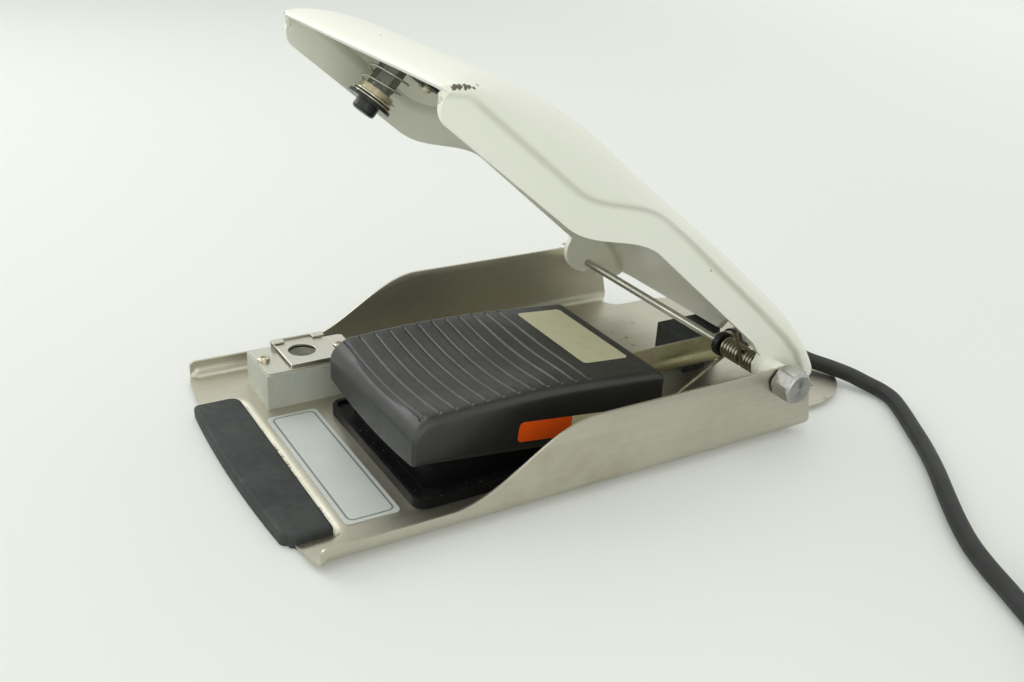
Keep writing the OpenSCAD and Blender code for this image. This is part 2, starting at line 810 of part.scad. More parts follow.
module conduit_tube() {
  in_tray() color(gold) difference() {
    bar_y(body_rear - 5, tube_end, switch_x, tube_z, tube_dia / 2);
    bar_y(body_rear - 6, tube_end + 1, switch_x, tube_z, tube_dia / 2 - 1.25);
  }
}

module gland_body() {
  in_tray() color(black) difference() {
    translate([switch_x, tube_end + 8, tube_z]) rotate([90, 0, 0]) cylinder(h = 8, r = gland_r, $fn = 6);
    bar_y(tube_end - 1, tube_end + 9, switch_x, tube_z, cord_r + running_play);
  }
}

module gland_nut() {
  in_tray() color(black) translate([switch_x, tube_end + 8, tube_z]) rotate([-90, 0, 0])
    rotate_extrude() polygon(concat(
      [[cord_r + running_play, 0], [gland_r - 0.6, 0]], arc(gland_r - 5.1, 3.5, 4.5, 0, 90), [[cord_r + running_play, 8]]));
}

module inner_lead() {
  in_tray() color(black) bar_y(body_rear - 40, gland_end, switch_x, tube_z, cord_r);
}

module cord() {
  color(black) {
    tube_along(cord_route, cord_r, [0, 0, 1], 12);
    tube_along(tail_route, cord_r, [0, 0, 1], 12);
  }
}

// the turns wound on one another, as one ring
module cord_coil() {
  color(black) translate([coil_at[0], coil_at[1], 0]) difference() {
    rotate_extrude($fn = 96)
      translate([coil_r[0], 0]) square([coil_r[1] - coil_r[0], coil_high]);
    rotate([0, 0, tie_angle])
      block([coil_r[0] - 1, -tie_wide / 2, -1], [coil_r[1] + 1, tie_wide / 2, tie_thick]);
  }
}

module coil_tie() {
  color(charcoal) translate([coil_at[0], coil_at[1], 0]) rotate([0, 0, tie_angle]) difference() {
    block([coil_r[0] - tie_thick, -tie_wide / 2, 0], [coil_r[1] + tie_thick, tie_wide / 2, coil_high + tie_thick]);
    translate([0, 0, tie_thick]) rotate_extrude($fn = 96)
      translate([coil_r[0], 0]) square([coil_r[1] - coil_r[0], coil_high - tie_thick]);
  }
}

module at_plug() {
  translate(plug_at) rotate([0, 90, 0]) children();
}

module connector_boot() {
  color(black) at_plug() rotate_extrude() polygon(
    [[cord_r + running_play, -9], [cord_r + 1, -9], [6.6, 12], [7.4, 12], [7.4, 16], [0, 16], [0, 0],
     [cord_r + running_play, 0]]);
}

module connector_body() {
  color(bright) at_plug() difference() {
    bar_z(16, 42, 0, 0, 9);
    bar_z(36, 43, 0, 0, 7.6);
  }
}

module connector_ring() {
  color(bright) at_plug() difference() {
    bar_z(26, 40, 0, 0, 10.5);
    bar_z(25, 41, 0, 0, 9 + running_play);
  }
}

module connector_pins() {
  color(gold) at_plug() {
    bar_z(36, 37, 0, 0, 6);
    for (a = [0:60:300])
      rotate([0, 0, a]) bar_z(36, 41, 3.8, 0, 0.8);
  }
}

// ---------------------------------------------------------------- nodes

tray();
feet();
front_bumper();
name_plate();
latch_block();
latch_guide();
latch_slide();
latch_screws();
hinge_pin();
hinge_caps();
hinge_washers();
hinge_spacers();
retaining_ring();
spring_tray_end();
stop_block();
switch_base();
pedal_pin();
pedal_spring();
microswitch();
microswitch_button();
side_label();
switch_pedal();
rating_label();
conduit_tube();
gland_body();
gland_nut();
inner_lead();
cover();
spring_cover_end();
catch_base();
catch_screws();
catch_post();
catch_spring();
catch_tip();
catch_washers();
catch_seal();
catch_collar();
cord();
cord_coil();
coil_tie();
connector_boot();
connector_body();
connector_ring();
connector_pins();
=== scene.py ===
"""Guarded foot switch: pressed tray, ribbed pedal, sprung cast cover and coiled lead.

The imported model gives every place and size. Shapes are worked out in millimetres in two
frames: the tray's (front ends of its walls at y = 0, underside at z = 0) and the cover's,
which is the tray's with the cover shut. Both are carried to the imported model's frame, in
metres, which is called the shared frame here.
"""
import json
import math

import bmesh
import bpy
import numpy as np
from mathutils import Matrix, Vector

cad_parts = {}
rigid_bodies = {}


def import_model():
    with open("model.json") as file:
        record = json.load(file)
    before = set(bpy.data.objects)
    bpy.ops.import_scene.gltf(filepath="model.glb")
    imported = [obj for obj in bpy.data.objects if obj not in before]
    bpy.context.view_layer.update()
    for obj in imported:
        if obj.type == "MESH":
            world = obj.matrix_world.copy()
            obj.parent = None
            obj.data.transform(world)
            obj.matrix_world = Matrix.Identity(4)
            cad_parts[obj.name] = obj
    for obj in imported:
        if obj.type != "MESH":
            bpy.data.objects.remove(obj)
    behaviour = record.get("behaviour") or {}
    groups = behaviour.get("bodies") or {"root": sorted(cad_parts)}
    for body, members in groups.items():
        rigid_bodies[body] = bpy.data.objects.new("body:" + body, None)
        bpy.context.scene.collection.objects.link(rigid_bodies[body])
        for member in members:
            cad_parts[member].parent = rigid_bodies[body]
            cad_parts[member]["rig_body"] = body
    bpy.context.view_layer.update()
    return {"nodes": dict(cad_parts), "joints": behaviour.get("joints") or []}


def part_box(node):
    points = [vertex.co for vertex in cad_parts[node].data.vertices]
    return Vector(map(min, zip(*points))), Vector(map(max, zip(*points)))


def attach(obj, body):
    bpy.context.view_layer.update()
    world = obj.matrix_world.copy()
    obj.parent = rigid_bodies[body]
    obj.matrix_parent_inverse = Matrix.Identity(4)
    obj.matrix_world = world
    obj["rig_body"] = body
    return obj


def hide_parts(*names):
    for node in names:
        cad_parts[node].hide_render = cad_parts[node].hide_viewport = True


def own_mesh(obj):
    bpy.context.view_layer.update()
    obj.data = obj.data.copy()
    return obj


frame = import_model()
nodes = frame["nodes"]
MM = 0.001

# ------------------------------------------------------------------ places from the frame

hinge_joint = next(j for j in frame["joints"] if j["name"] == "cover_hinge")
HINGE_SHARED = np.array(hinge_joint["pos_m"]) / MM
OPEN = math.radians(hinge_joint["range_deg"][1])
TRAY_LOW, TRAY_HIGH = (np.array(c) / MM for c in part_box("tray"))
FRONT_LIP, FRONT_BOW, BOW_HALF = 10.0, 4.0, 75.0
TRAY_ORIGIN = np.array([0.0, TRAY_LOW[1] + FRONT_LIP, TRAY_LOW[2]])
HINGE = HINGE_SHARED - TRAY_ORIGIN
TRAY_HALF = (TRAY_HIGH[0] - TRAY_LOW[0]) / 2
WALL_LENGTH = HINGE[1] + 24.4
WALL_HIGH = TRAY_HIGH[2] - TRAY_LOW[2]
TONGUE_END = TRAY_HIGH[1] - TRAY_ORIGIN[1]
BUMPER = (-50.0, 67.0, 9.0, 5.0)  # low x, high x, rear edge, rear corner radius
RIB_FROM, RIB_PITCH, RIB_COUNT = 48.8, 7.23, 12


def from_tray(points):
    """Tray frame in mm to shared frame in metres: a shift."""
    return (np.asarray(points, float) + TRAY_ORIGIN) * MM


def from_cover(points):
    """Shut-cover frame in mm to shared frame in metres: turned by -OPEN about the hinge's X axis."""
    p = np.asarray(points, float) - [0.0, HINGE[1], HINGE[2]]
    c, s = math.cos(OPEN), math.sin(OPEN)
    y, z = p[..., 1] * c + p[..., 2] * s, -p[..., 1] * s + p[..., 2] * c
    return from_tray(np.stack([p[..., 0], y + HINGE[1], z + HINGE[2]], -1))


# ------------------------------------------------------------------ camera

camera_data = bpy.data.cameras.new("camera")
camera_data.sensor_fit = "HORIZONTAL"
camera_data.sensor_width = 36.0
camera_data.lens = 38.170
camera_data.clip_start, camera_data.clip_end = 0.01, 20.0
camera = bpy.data.objects.new("camera", camera_data)
bpy.context.scene.collection.objects.link(camera)
CAMERA_PLACE = (0.393623, -0.264978, 0.254071)
CAMERA_AZIMUTH, CAMERA_ELEVATION, CAMERA_ROLL = 1.007142663, 0.442775691, 0.0618547037
look = Vector((-math.sin(CAMERA_AZIMUTH) * math.cos(CAMERA_ELEVATION),
               math.cos(CAMERA_AZIMUTH) * math.cos(CAMERA_ELEVATION),
               -math.sin(CAMERA_ELEVATION)))
level_right = look.cross(Vector((0, 0, 1))).normalized()
level_up = level_right.cross(look)
right = level_right * math.cos(CAMERA_ROLL) + level_up * math.sin(CAMERA_ROLL)
up = level_up * math.cos(CAMERA_ROLL) - level_right * math.sin(CAMERA_ROLL)
turn = Matrix((right, up, -look)).transposed().to_4x4()
camera.matrix_world = Matrix.Translation(CAMERA_PLACE) @ turn
bpy.context.scene.camera = camera


# ------------------------------------------------------------------ mesh helpers

def smoothstep(a, b, x):
    """0 below a, 1 above b, a cubic between them."""
    t = np.clip((x - a) / (b - a), 0.0, 1.0)
    return t * t * (3 - 2 * t)


def arc(centre, radius, start, end, count):
    """Points of a circular arc in a plane, angles in degrees, as an (n, 2) array."""
    a = np.radians(np.linspace(start, end, count))
    return np.stack([centre[0] + radius * np.cos(a), centre[1] + radius * np.sin(a)], 1)


def grid_faces(rows, columns, start=0):
    """Quads of a rows x columns grid of vertices."""
    i, j = np.meshgrid(np.arange(rows - 1), np.arange(columns - 1), indexing="ij")
    a = (i * columns + j).ravel() + start
    return np.stack([a, a + 1, a + columns + 1, a + columns], 1)


def mesh_of(name, patches, weld=2e-6):
    """One mesh from (rows, columns, 3) patches in metres, with shared edges welded."""
    verts, faces, count = [], [], 0
    for patch in patches:
        rows, columns = patch.shape[:2]
        verts.append(patch.reshape(-1, 3))
        faces.append(grid_faces(rows, columns, count))
        count += rows * columns
    mesh = bpy.data.meshes.new(name)
    mesh.from_pydata(np.concatenate(verts).tolist(), [], np.concatenate(faces).tolist())
    bm = bmesh.new()
    bm.from_mesh(mesh)
    bmesh.ops.remove_doubles(bm, verts=bm.verts, dist=weld)
    bmesh.ops.dissolve_degenerate(bm, edges=bm.edges, dist=weld)
    bmesh.ops.recalc_face_normals(bm, faces=bm.faces)
    bm.to_mesh(mesh)
    bm.free()
    return mesh


def outward(mesh, point):
    """Turns the whole mesh so that the face nearest to point looks away from it."""
    centres = np.zeros(len(mesh.polygons) * 3)
    normals = np.zeros_like(centres)
    mesh.polygons.foreach_get("center", centres)
    mesh.polygons.foreach_get("normal", normals)
    gap = centres.reshape(-1, 3) - np.asarray(point)
    nearest = np.argmin((gap ** 2).sum(1))
    if np.dot(gap[nearest], normals.reshape(-1, 3)[nearest]) <= 0:
        mesh.flip_normals()
    return mesh


def finish_shading(mesh, angle=35):
    """Smooth faces, with edges sharper than the angle left crisp."""
    mesh.polygons.foreach_set("use_smooth", np.ones(len(mesh.polygons), bool))
    mesh.set_sharp_from_angle(angle=math.radians(angle))


def place(mesh, body, material, replaced=(), thickness=0.0, bevel=0.0, angle=35,
          segments=2, even=True):
    """Puts a mesh in the scene as a piece: wall thickness, worn edges, finish, body."""
    obj = bpy.data.objects.new(mesh.name, mesh)
    bpy.context.scene.collection.objects.link(obj)
    if thickness:
        wall = obj.modifiers.new("wall", "SOLIDIFY")
        wall.thickness = thickness * MM
        wall.offset = -1
        wall.use_even_offset = even
        wall.use_quality_normals = True
    if bevel:
        edge = obj.modifiers.new("edges", "BEVEL")
        edge.width = bevel * MM
        edge.segments = segments
        edge.limit_method = "ANGLE"
        edge.angle_limit = math.radians(angle)
        edge.harden_normals = False
        edge.use_clamp_overlap = True
    mesh.materials.append(material)
    finish_shading(mesh, angle)
    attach(obj, body)
    if replaced:
        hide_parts(*replaced)
    return obj


def merged_copy(node):
    """A CAD node's mesh with its loose triangles joined and its flat faces made whole."""
    source = nodes[node].data
    bm = bmesh.new()
    bm.from_mesh(source)
    bmesh.ops.remove_doubles(bm, verts=bm.verts, dist=2e-6)
    bmesh.ops.dissolve_degenerate(bm, edges=bm.edges, dist=1e-6)
    bmesh.ops.dissolve_limit(bm, angle_limit=math.radians(0.4), verts=bm.verts, edges=bm.edges)
    mesh = bpy.data.meshes.new(node + "_finished")
    bm.to_mesh(mesh)
    bm.free()
    return mesh


def body_of(node):
    """The name of the body that holds a CAD node."""
    return nodes[node]["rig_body"]


def worn(node, material, width, segments=2):
    """A CAD node's shape with its edges broken by a small bevel."""
    return place(merged_copy(node), body_of(node), material, [node],
                 bevel=width, angle=30, segments=segments)


def swept(path, radius, up_axis, sides):
    """Round tube with flat ends: rings of radius r across the path's tangent t, at
    p + r (cos a s + sin a u), where s = t x up and u = s x t."""
    path = np.asarray(path, float)
    tangent = np.gradient(path, axis=0)
    tangent /= np.linalg.norm(tangent, axis=1, keepdims=True)
    side = np.cross(tangent, up_axis)
    side /= np.linalg.norm(side, axis=1, keepdims=True)
    over = np.cross(side, tangent)
    a = np.linspace(0, 2 * np.pi, sides + 1)
    rings = (path[:, None] + radius * (np.cos(a)[None, :, None] * side[:, None]
                                       + np.sin(a)[None, :, None] * over[:, None]))
    ends = [np.stack([rings[k], np.broadcast_to(path[k], rings[k].shape)]) for k in (0, -1)]
    return [rings, *ends]


def turned(profile, origin, axis):
    """Surface of revolution about an axis: profile rows are (radius, height along the axis)."""
    axis = np.asarray(axis, float) / np.linalg.norm(axis)
    helper = np.array([1.0, 0, 0]) if abs(axis[0]) < 0.8 else np.array([0, 1.0, 0])
    e1 = np.cross(axis, helper)
    e1 /= np.linalg.norm(e1)
    e2 = np.cross(axis, e1)
    a = np.linspace(0, 2 * np.pi, 49)
    spoke = np.cos(a)[:, None] * e1 + np.sin(a)[:, None] * e2
    p = np.asarray(profile, float)
    return np.asarray(origin) + p[:, None, :1] * spoke[None] + p[:, None, 1:] * axis


def smooth_path(points, step):
    """Catmull-Rom curve through given points, sampled again at an even step."""
    p = np.asarray(points, float)
    ends = np.concatenate([[2 * p[0] - p[1]], p, [2 * p[-1] - p[-2]]])
    t = np.linspace(0, 1, 12, endpoint=False)[None, :, None]
    a, b, c, d = (ends[k:len(ends) - 3 + k][:, None] for k in range(4))
    fine = 0.5 * (2 * b + (c - a) * t + (2 * a - 5 * b + 4 * c - d) * t ** 2
                  + (3 * b - a - 3 * c + d) * t ** 3)
    fine = np.concatenate([fine.reshape(-1, 3), p[-1:]])
    run = np.concatenate([[0], np.cumsum(np.linalg.norm(np.diff(fine, axis=0), axis=1))])
    even = np.linspace(0, run[-1], max(2, round(run[-1] / step) + 1))
    return np.stack([np.interp(even, run, fine[:, k]) for k in range(3)], 1)


# ------------------------------------------------------------------ node helpers

def tone(red, green, blue):
    """A display colour, 0 to 255, as the linear colour that renders like it."""
    c = np.array([red, green, blue]) / 255.0
    lin = np.where(c <= 0.04045, c / 12.92, ((c + 0.055) / 1.055) ** 2.4)
    return (*lin.tolist(), 1.0)


class Net:
    """Short calls for building a node tree; values or sockets go in, a socket comes out."""

    def __init__(self, tree):
        self.tree = tree

    def put(self, socket, value):
        """Links a socket, or sets a plain value."""
        if isinstance(value, bpy.types.NodeSocket):
            self.tree.links.new(value, socket)
        elif value is not None:
            socket.default_value = value

    def add(self, kind, props=None, **inputs):
        """Any node, with its settings in props and its inputs by name."""
        node = self.tree.nodes.new("ShaderNode" + kind)
        for key, value in (props or {}).items():
            setattr(node, key, value)
        for key, value in inputs.items():
            self.put(node.inputs[key.replace("_", " ")], value)
        return node

    def math(self, operation, a, b=None, c=None, clamp=False):
        """Arithmetic on numbers."""
        node = self.tree.nodes.new("ShaderNodeMath")
        node.operation, node.use_clamp = operation, clamp
        for socket, value in zip(node.inputs, (a, b, c)):
            self.put(socket, value)
        return node.outputs[0]

    def vector(self, operation, a, b=None):
        """Arithmetic on vectors; a length or a distance comes out as a number."""
        node = self.tree.nodes.new("ShaderNodeVectorMath")
        node.operation = operation
        self.put(node.inputs[0], a)
        self.put(node.inputs[1], b)
        return node.outputs["Value" if operation in ("LENGTH", "DOT_PRODUCT", "DISTANCE") else "Vector"]

    def mix(self, factor, a, b):
        """Colour a at 0, colour b at 1."""
        node = self.tree.nodes.new("ShaderNodeMix")
        node.data_type = "RGBA"
        self.put(node.inputs[0], factor)
        self.put(node.inputs[6], a)
        self.put(node.inputs[7], b)
        return node.outputs[2]

    def lerp(self, factor, a, b):
        """Number a at 0, number b at 1."""
        node = self.tree.nodes.new("ShaderNodeMix")
        node.data_type = "FLOAT"
        self.put(node.inputs[0], factor)
        self.put(node.inputs[2], a)
        self.put(node.inputs[3], b)
        return node.outputs[0]

    def range(self, value, low, high, to_low=0.0, to_high=1.0):
        """Smooth step from one range to another."""
        node = self.tree.nodes.new("ShaderNodeMapRange")
        node.interpolation_type = "SMOOTHSTEP"
        for key, v in (("Value", value), ("From Min", low), ("From Max", high),
                       ("To Min", to_low), ("To Max", to_high)):
            self.put(node.inputs[key], v)
        return node.outputs["Result"]

    def noise(self, vector, scale, detail=3.0, roughness=0.5):
        """Fractal noise, 0 to 1."""
        node = self.add("TexNoise", Vector=vector, Scale=scale, Detail=detail, Roughness=roughness)
        return node.outputs["Fac"]

    def objects(self):
        """Object coordinates."""
        return self.tree.nodes.new("ShaderNodeTexCoord").outputs["Object"]


def make_group(name, ins, outs, build):
    """A shader node group with named float, colour or vector inputs and outputs."""
    kinds = {"f": "NodeSocketFloat", "c": "NodeSocketColor", "v": "NodeSocketVector"}
    tree = bpy.data.node_groups.new(name, "ShaderNodeTree")
    for key, kind in ins:
        tree.interface.new_socket(key, in_out="INPUT", socket_type=kinds[kind])
    for key, kind in outs:
        tree.interface.new_socket(key, in_out="OUTPUT", socket_type=kinds[kind])
    net = Net(tree)
    source = tree.nodes.new("NodeGroupInput")
    sink = tree.nodes.new("NodeGroupOutput")
    results = build(net, {key: source.outputs[key] for key, _ in ins})
    for (key, _), value in zip(outs, results):
        net.put(sink.inputs[key], value)
    return tree


def use_group(net, group, **inputs):
    """One use of a shared effect with its own values; gives the group's outputs."""
    node = net.tree.nodes.new("ShaderNodeGroup")
    node.node_tree = group
    for key, value in inputs.items():
        net.put(node.inputs[key.replace("_", " ")], value)
    return node.outputs


def new_material(name):
    """A material with its tree helper and its Principled BSDF."""
    material = bpy.data.materials.new(name)
    material.use_nodes = True
    net = Net(material.node_tree)
    shader = material.node_tree.nodes["Principled BSDF"]
    return material, net, shader


def bump(net, height, strength, distance=0.0003):
    """Normal from a height, with the distance in metres."""
    return net.add("Bump", Strength=strength, Distance=distance, Height=height).outputs["Normal"]


# ------------------------------------------------------------------ shared effects

def build_cloud(net, g):
    """Two sizes of noise averaged: broad patches with a fine breakup."""
    broad = net.noise(g["Position"], g["Scale"], 3.0, 0.55)
    fine = net.noise(g["Position"], net.math("MULTIPLY", g["Scale"], 7.0), 2.0, 0.6)
    both = net.math("ADD", net.math("MULTIPLY", broad, 0.7), net.math("MULTIPLY", fine, 0.3))
    return [net.range(both, g["Low"], g["High"])]


def build_brushed(net, g):
    """Fine streaks: noise on coordinates squeezed along the drawn direction."""
    squeezed = net.vector("MULTIPLY", g["Position"], g["Stretch"])
    streak = net.noise(squeezed, 1.0, 5.0, 0.65)
    return [net.range(streak, 0.3, 0.7)]


def build_border(net, g):
    """Distance d to a rounded rectangle in the X-Y plane, |max(q, 0)| + min(max(q), 0) - r,
    and a line where |d| is small."""
    p = net.vector("ABSOLUTE", net.vector("SUBTRACT", g["Position"], g["Centre"]))
    q = net.vector("SUBTRACT", p, g["Half size"])
    flat = net.vector("MULTIPLY", net.vector("MAXIMUM", q, (0, 0, 0)), (1, 1, 0))
    parts = net.add("SeparateXYZ", Vector=q).outputs
    inner = net.math("MINIMUM", net.math("MAXIMUM", parts["X"], parts["Y"]), 0.0)
    distance = net.math("SUBTRACT", net.math("ADD", net.vector("LENGTH", flat), inner), g["Radius"])
    line = net.math("SUBTRACT", 1.0, net.range(net.math("ABSOLUTE", distance), g["Width"],
                                               net.math("MULTIPLY", g["Width"], 1.6)))
    return [line, distance]


def build_specks(net, g):
    """Small scattered spots: nearest-cell distance under a threshold, thinned by a cloud."""
    cells = net.add("TexVoronoi", Vector=g["Position"], Scale=g["Scale"]).outputs["Distance"]
    spot = net.math("SUBTRACT", 1.0, net.range(cells, g["Size"], net.math("MULTIPLY", g["Size"], 1.7)))
    thin = net.range(net.noise(g["Position"], net.math("MULTIPLY", g["Scale"], 0.31), 2.0), 0.55, 0.62)
    return [net.math("MULTIPLY", spot, thin)]


def build_spot(net, g):
    """One blemish: a ball about a point with a ragged edge."""
    ragged = net.math("MULTIPLY", net.math("SUBTRACT", net.noise(g["Position"], 900.0, 4.0, 0.7), 0.5),
                      net.math("MULTIPLY", g["Radius"], 1.6))
    away = net.math("ADD", net.vector("DISTANCE", g["Position"], g["Centre"]), ragged)
    return [net.math("SUBTRACT", 1.0, net.range(away, net.math("MULTIPLY", g["Radius"], 0.8), g["Radius"]))]


def build_grooves(net, g):
    """Parallel grooves along X: distance to the nearest one by folding Y at half the pitch."""
    at = net.add("SeparateXYZ", Vector=g["Position"]).outputs
    along = net.math("SUBTRACT", at["Y"], g["First"])
    folded = net.math("PINGPONG", along, net.math("MULTIPLY", g["Pitch"], 0.5))
    line = net.math("SUBTRACT", 1.0, net.range(folded, g["Width"], net.math("MULTIPLY", g["Width"], 2.0)))
    half = net.math("MULTIPLY", g["Pitch"], 0.5)
    began = net.math("GREATER_THAN", along, net.math("MULTIPLY", half, -1.0))
    ended = net.math("LESS_THAN", along, g["Length"])
    off_middle = net.math("ABSOLUTE", net.math("SUBTRACT", at["X"], g["Middle"]))
    inside = net.math("LESS_THAN", off_middle, g["Half width"])
    high = net.math("GREATER_THAN", at["Z"], g["Above"])
    return [net.math("MULTIPLY", net.math("MULTIPLY", net.math("MULTIPLY", line, inside), high),
                     net.math("MULTIPLY", began, ended))]


GROOVES = make_group("grooves", [("Position", "v"), ("First", "f"), ("Pitch", "f"), ("Length", "f"),
                                 ("Width", "f"), ("Middle", "f"), ("Half width", "f"), ("Above", "f")],
                     [("Mask", "f")], build_grooves)
CLOUD = make_group("cloud", [("Position", "v"), ("Scale", "f"), ("Low", "f"), ("High", "f")],
                   [("Mask", "f")], build_cloud)
BRUSHED = make_group("brushed", [("Position", "v"), ("Stretch", "v")], [("Streak", "f")], build_brushed)
BORDER = make_group("border line", [("Position", "v"), ("Centre", "v"), ("Half size", "v"), ("Radius", "f"),
                                    ("Width", "f")], [("Line", "f"), ("Distance", "f")], build_border)
SPECKS = make_group("specks", [("Position", "v"), ("Scale", "f"), ("Size", "f")], [("Mask", "f")],
                    build_specks)
SPOT = make_group("spot", [("Position", "v"), ("Centre", "v"), ("Radius", "f")], [("Mask", "f")], build_spot)


# ------------------------------------------------------------------ materials

def set_plain(shader, **values):
    """Sets a shader's inputs by name."""
    for key, value in values.items():
        shader.inputs[key.replace("_", " ")].default_value = value


def metal(name, light, dark, rough, stretch, rough_spread=0.12, bump_strength=0.05, grain=60.0):
    """Metal with drawn or brushed streaks, mottled a little between two colours."""
    material, net, shader = new_material(name)
    at = net.objects()
    streak = use_group(net, BRUSHED, Position=at, Stretch=stretch)["Streak"]
    cloud = use_group(net, CLOUD, Position=at, Scale=grain, Low=0.35, High=0.65)["Mask"]
    blend = net.math("ADD", net.math("MULTIPLY", streak, 0.45), net.math("MULTIPLY", cloud, 0.55))
    net.put(shader.inputs["Base Color"], net.mix(blend, dark, light))
    net.put(shader.inputs["Roughness"], net.lerp(blend, rough + rough_spread, rough))
    net.put(shader.inputs["Metallic"], 1.0)
    net.put(shader.inputs["Normal"], bump(net, streak, bump_strength))
    return material, net, shader


def plastic(name, light, dark, rough, grain_scale, grain_strength, cloud_scale=40.0):
    """Moulded plastic or rubber: fine pebbled grain, faint cloudy handling marks."""
    material, net, shader = new_material(name)
    at = net.objects()
    cloud = use_group(net, CLOUD, Position=at, Scale=cloud_scale, Low=0.35, High=0.7)["Mask"]
    pebble = net.add("TexVoronoi", {"feature": "SMOOTH_F1"}, Vector=at, Scale=grain_scale).outputs["Distance"]
    fine = net.noise(at, grain_scale * 0.6, 2.0)
    net.put(shader.inputs["Base Color"], net.mix(cloud, dark, light))
    net.put(shader.inputs["Roughness"], net.lerp(cloud, rough + 0.08, rough - 0.04))
    height = net.math("ADD", net.math("MULTIPLY", pebble, 0.7), net.math("MULTIPLY", fine, 0.3))
    net.put(shader.inputs["Normal"], bump(net, height, grain_strength))
    return material, net, shader


RUST_PATCH = (-24.0, 204.0, 1.2)


def tray_steel():
    """Satin stainless sheet with its mill grain along Y, warm stains, and rust where water
    stands: specks on the floor and a broken line along the pressed step at the rubber."""
    material, net, shader = metal("tray steel", tone(200, 196, 182), tone(190, 186, 171), 0.36,
                                  (700.0, 10.0, 700.0), 0.10, 0.03, 22.0)
    at = net.objects()
    base = shader.inputs["Base Color"].links[0].from_socket
    stain = use_group(net, CLOUD, Position=at, Scale=16.0, Low=0.54, High=0.74)["Mask"]
    base = net.mix(net.math("MULTIPLY", stain, 0.30), base, tone(154, 142, 112))
    low = net.add("SeparateXYZ", Vector=at).outputs["Z"]
    on_floor = net.math("SUBTRACT", 1.0, net.range(low, 0.0034, 0.0044))
    uneven = net.noise(at, 700.0, 4.0, 0.7)
    speck = use_group(net, SPECKS, Position=at, Scale=120.0, Size=0.12)["Mask"]
    speck = net.math("MULTIPLY", net.math("MULTIPLY", speck, on_floor), net.range(uneven, 0.46, 0.56))
    x0, x1, rear = BUMPER[:3]
    before = -40.0
    step = use_group(net, BORDER, Position=at,
                     Centre=tuple(from_tray([(x0 + x1) / 2, (rear + before) / 2, 0.0])),
                     Half_size=((x1 - x0) / 2 * MM, (rear - before) / 2 * MM, 1.0),
                     Radius=0.0012, Width=0.0007)["Line"]
    broken = net.range(net.noise(at, 130.0, 3.0, 0.6), 0.53, 0.60)
    step = net.math("MULTIPLY", net.math("MULTIPLY", step, broken), net.range(uneven, 0.46, 0.56))
    patch = use_group(net, SPOT, Position=at, Centre=tuple(from_tray(RUST_PATCH)), Radius=0.006)["Mask"]
    rust = net.math("MAXIMUM", net.math("MAXIMUM", speck, step), net.math("MULTIPLY", patch, 0.7))
    net.put(shader.inputs["Base Color"], net.mix(rust, base, tone(118, 76, 42)))
    net.put(shader.inputs["Metallic"], net.math("SUBTRACT", 1.0, net.math("MULTIPLY", rust, 0.85)))
    return material


# places on the shut cover and radii in mm: near front corner, near rear corner, nose, far corner
CHIPS = [((77.2, -1.9, 33.7), 1.3), ((77.1, -0.5, 34.7), 1.1), ((76.9, 1.3, 36.1), 1.2),
         ((76.9, 2.6, 36.9), 1.0), ((76.9, 4.4, 37.8), 0.7), ((76.4, 214.0, 44.0), 0.5),
         ((72.6, 219.5, 50.0), 0.8), ((71.8, 222.0, 49.4), 0.6), ((0.1, 2.9, 41.4), 0.6),
         ((-73.4, -4.8, 31.2), 0.7)]


def enamel():
    """Ivory enamel on a casting: faint orange peel, hand grime, a few chips to dark metal, and painted shade
    along the crease over the skirts.
    """
    material, net, shader = new_material("ivory enamel")
    at = net.objects()
    grime = use_group(net, CLOUD, Position=at, Scale=18.0, Low=0.56, High=0.78)["Mask"]
    base = net.mix(net.math("MULTIPLY", grime, 0.16), tone(243, 244, 231), tone(200, 196, 172))
    # painted shade: the enamel is darkened just under the crease, where the concave step lies in shade
    line = net.add("Attribute", {"attribute_name": "crease"}).outputs["Fac"]
    base = net.mix(net.math("MULTIPLY", line, 0.26), base, tone(146, 146, 128))
    specks = use_group(net, SPECKS, Position=at, Scale=95.0, Size=0.05)["Mask"]
    base = net.mix(net.math("MULTIPLY", specks, 0.5), base, tone(120, 104, 74))
    chips = None
    for point, radius in CHIPS:
        chip = use_group(net, SPOT, Position=at, Centre=tuple(from_cover(point)), Radius=radius * MM)["Mask"]
        chips = chip if chips is None else net.math("MAXIMUM", chips, chip)
    base = net.mix(chips, base, tone(96, 86, 70))
    net.put(shader.inputs["Base Color"], base)
    net.put(shader.inputs["Roughness"], net.lerp(grime, 0.36, 0.5))
    peel = net.math("SUBTRACT", net.noise(at, 420.0, 2.0), net.math("MULTIPLY", chips, 2.0))
    net.put(shader.inputs["Normal"], bump(net, peel, 0.10, 0.0004))
    set_plain(shader, Coat_Weight=0.25, Coat_Roughness=0.22)
    return material


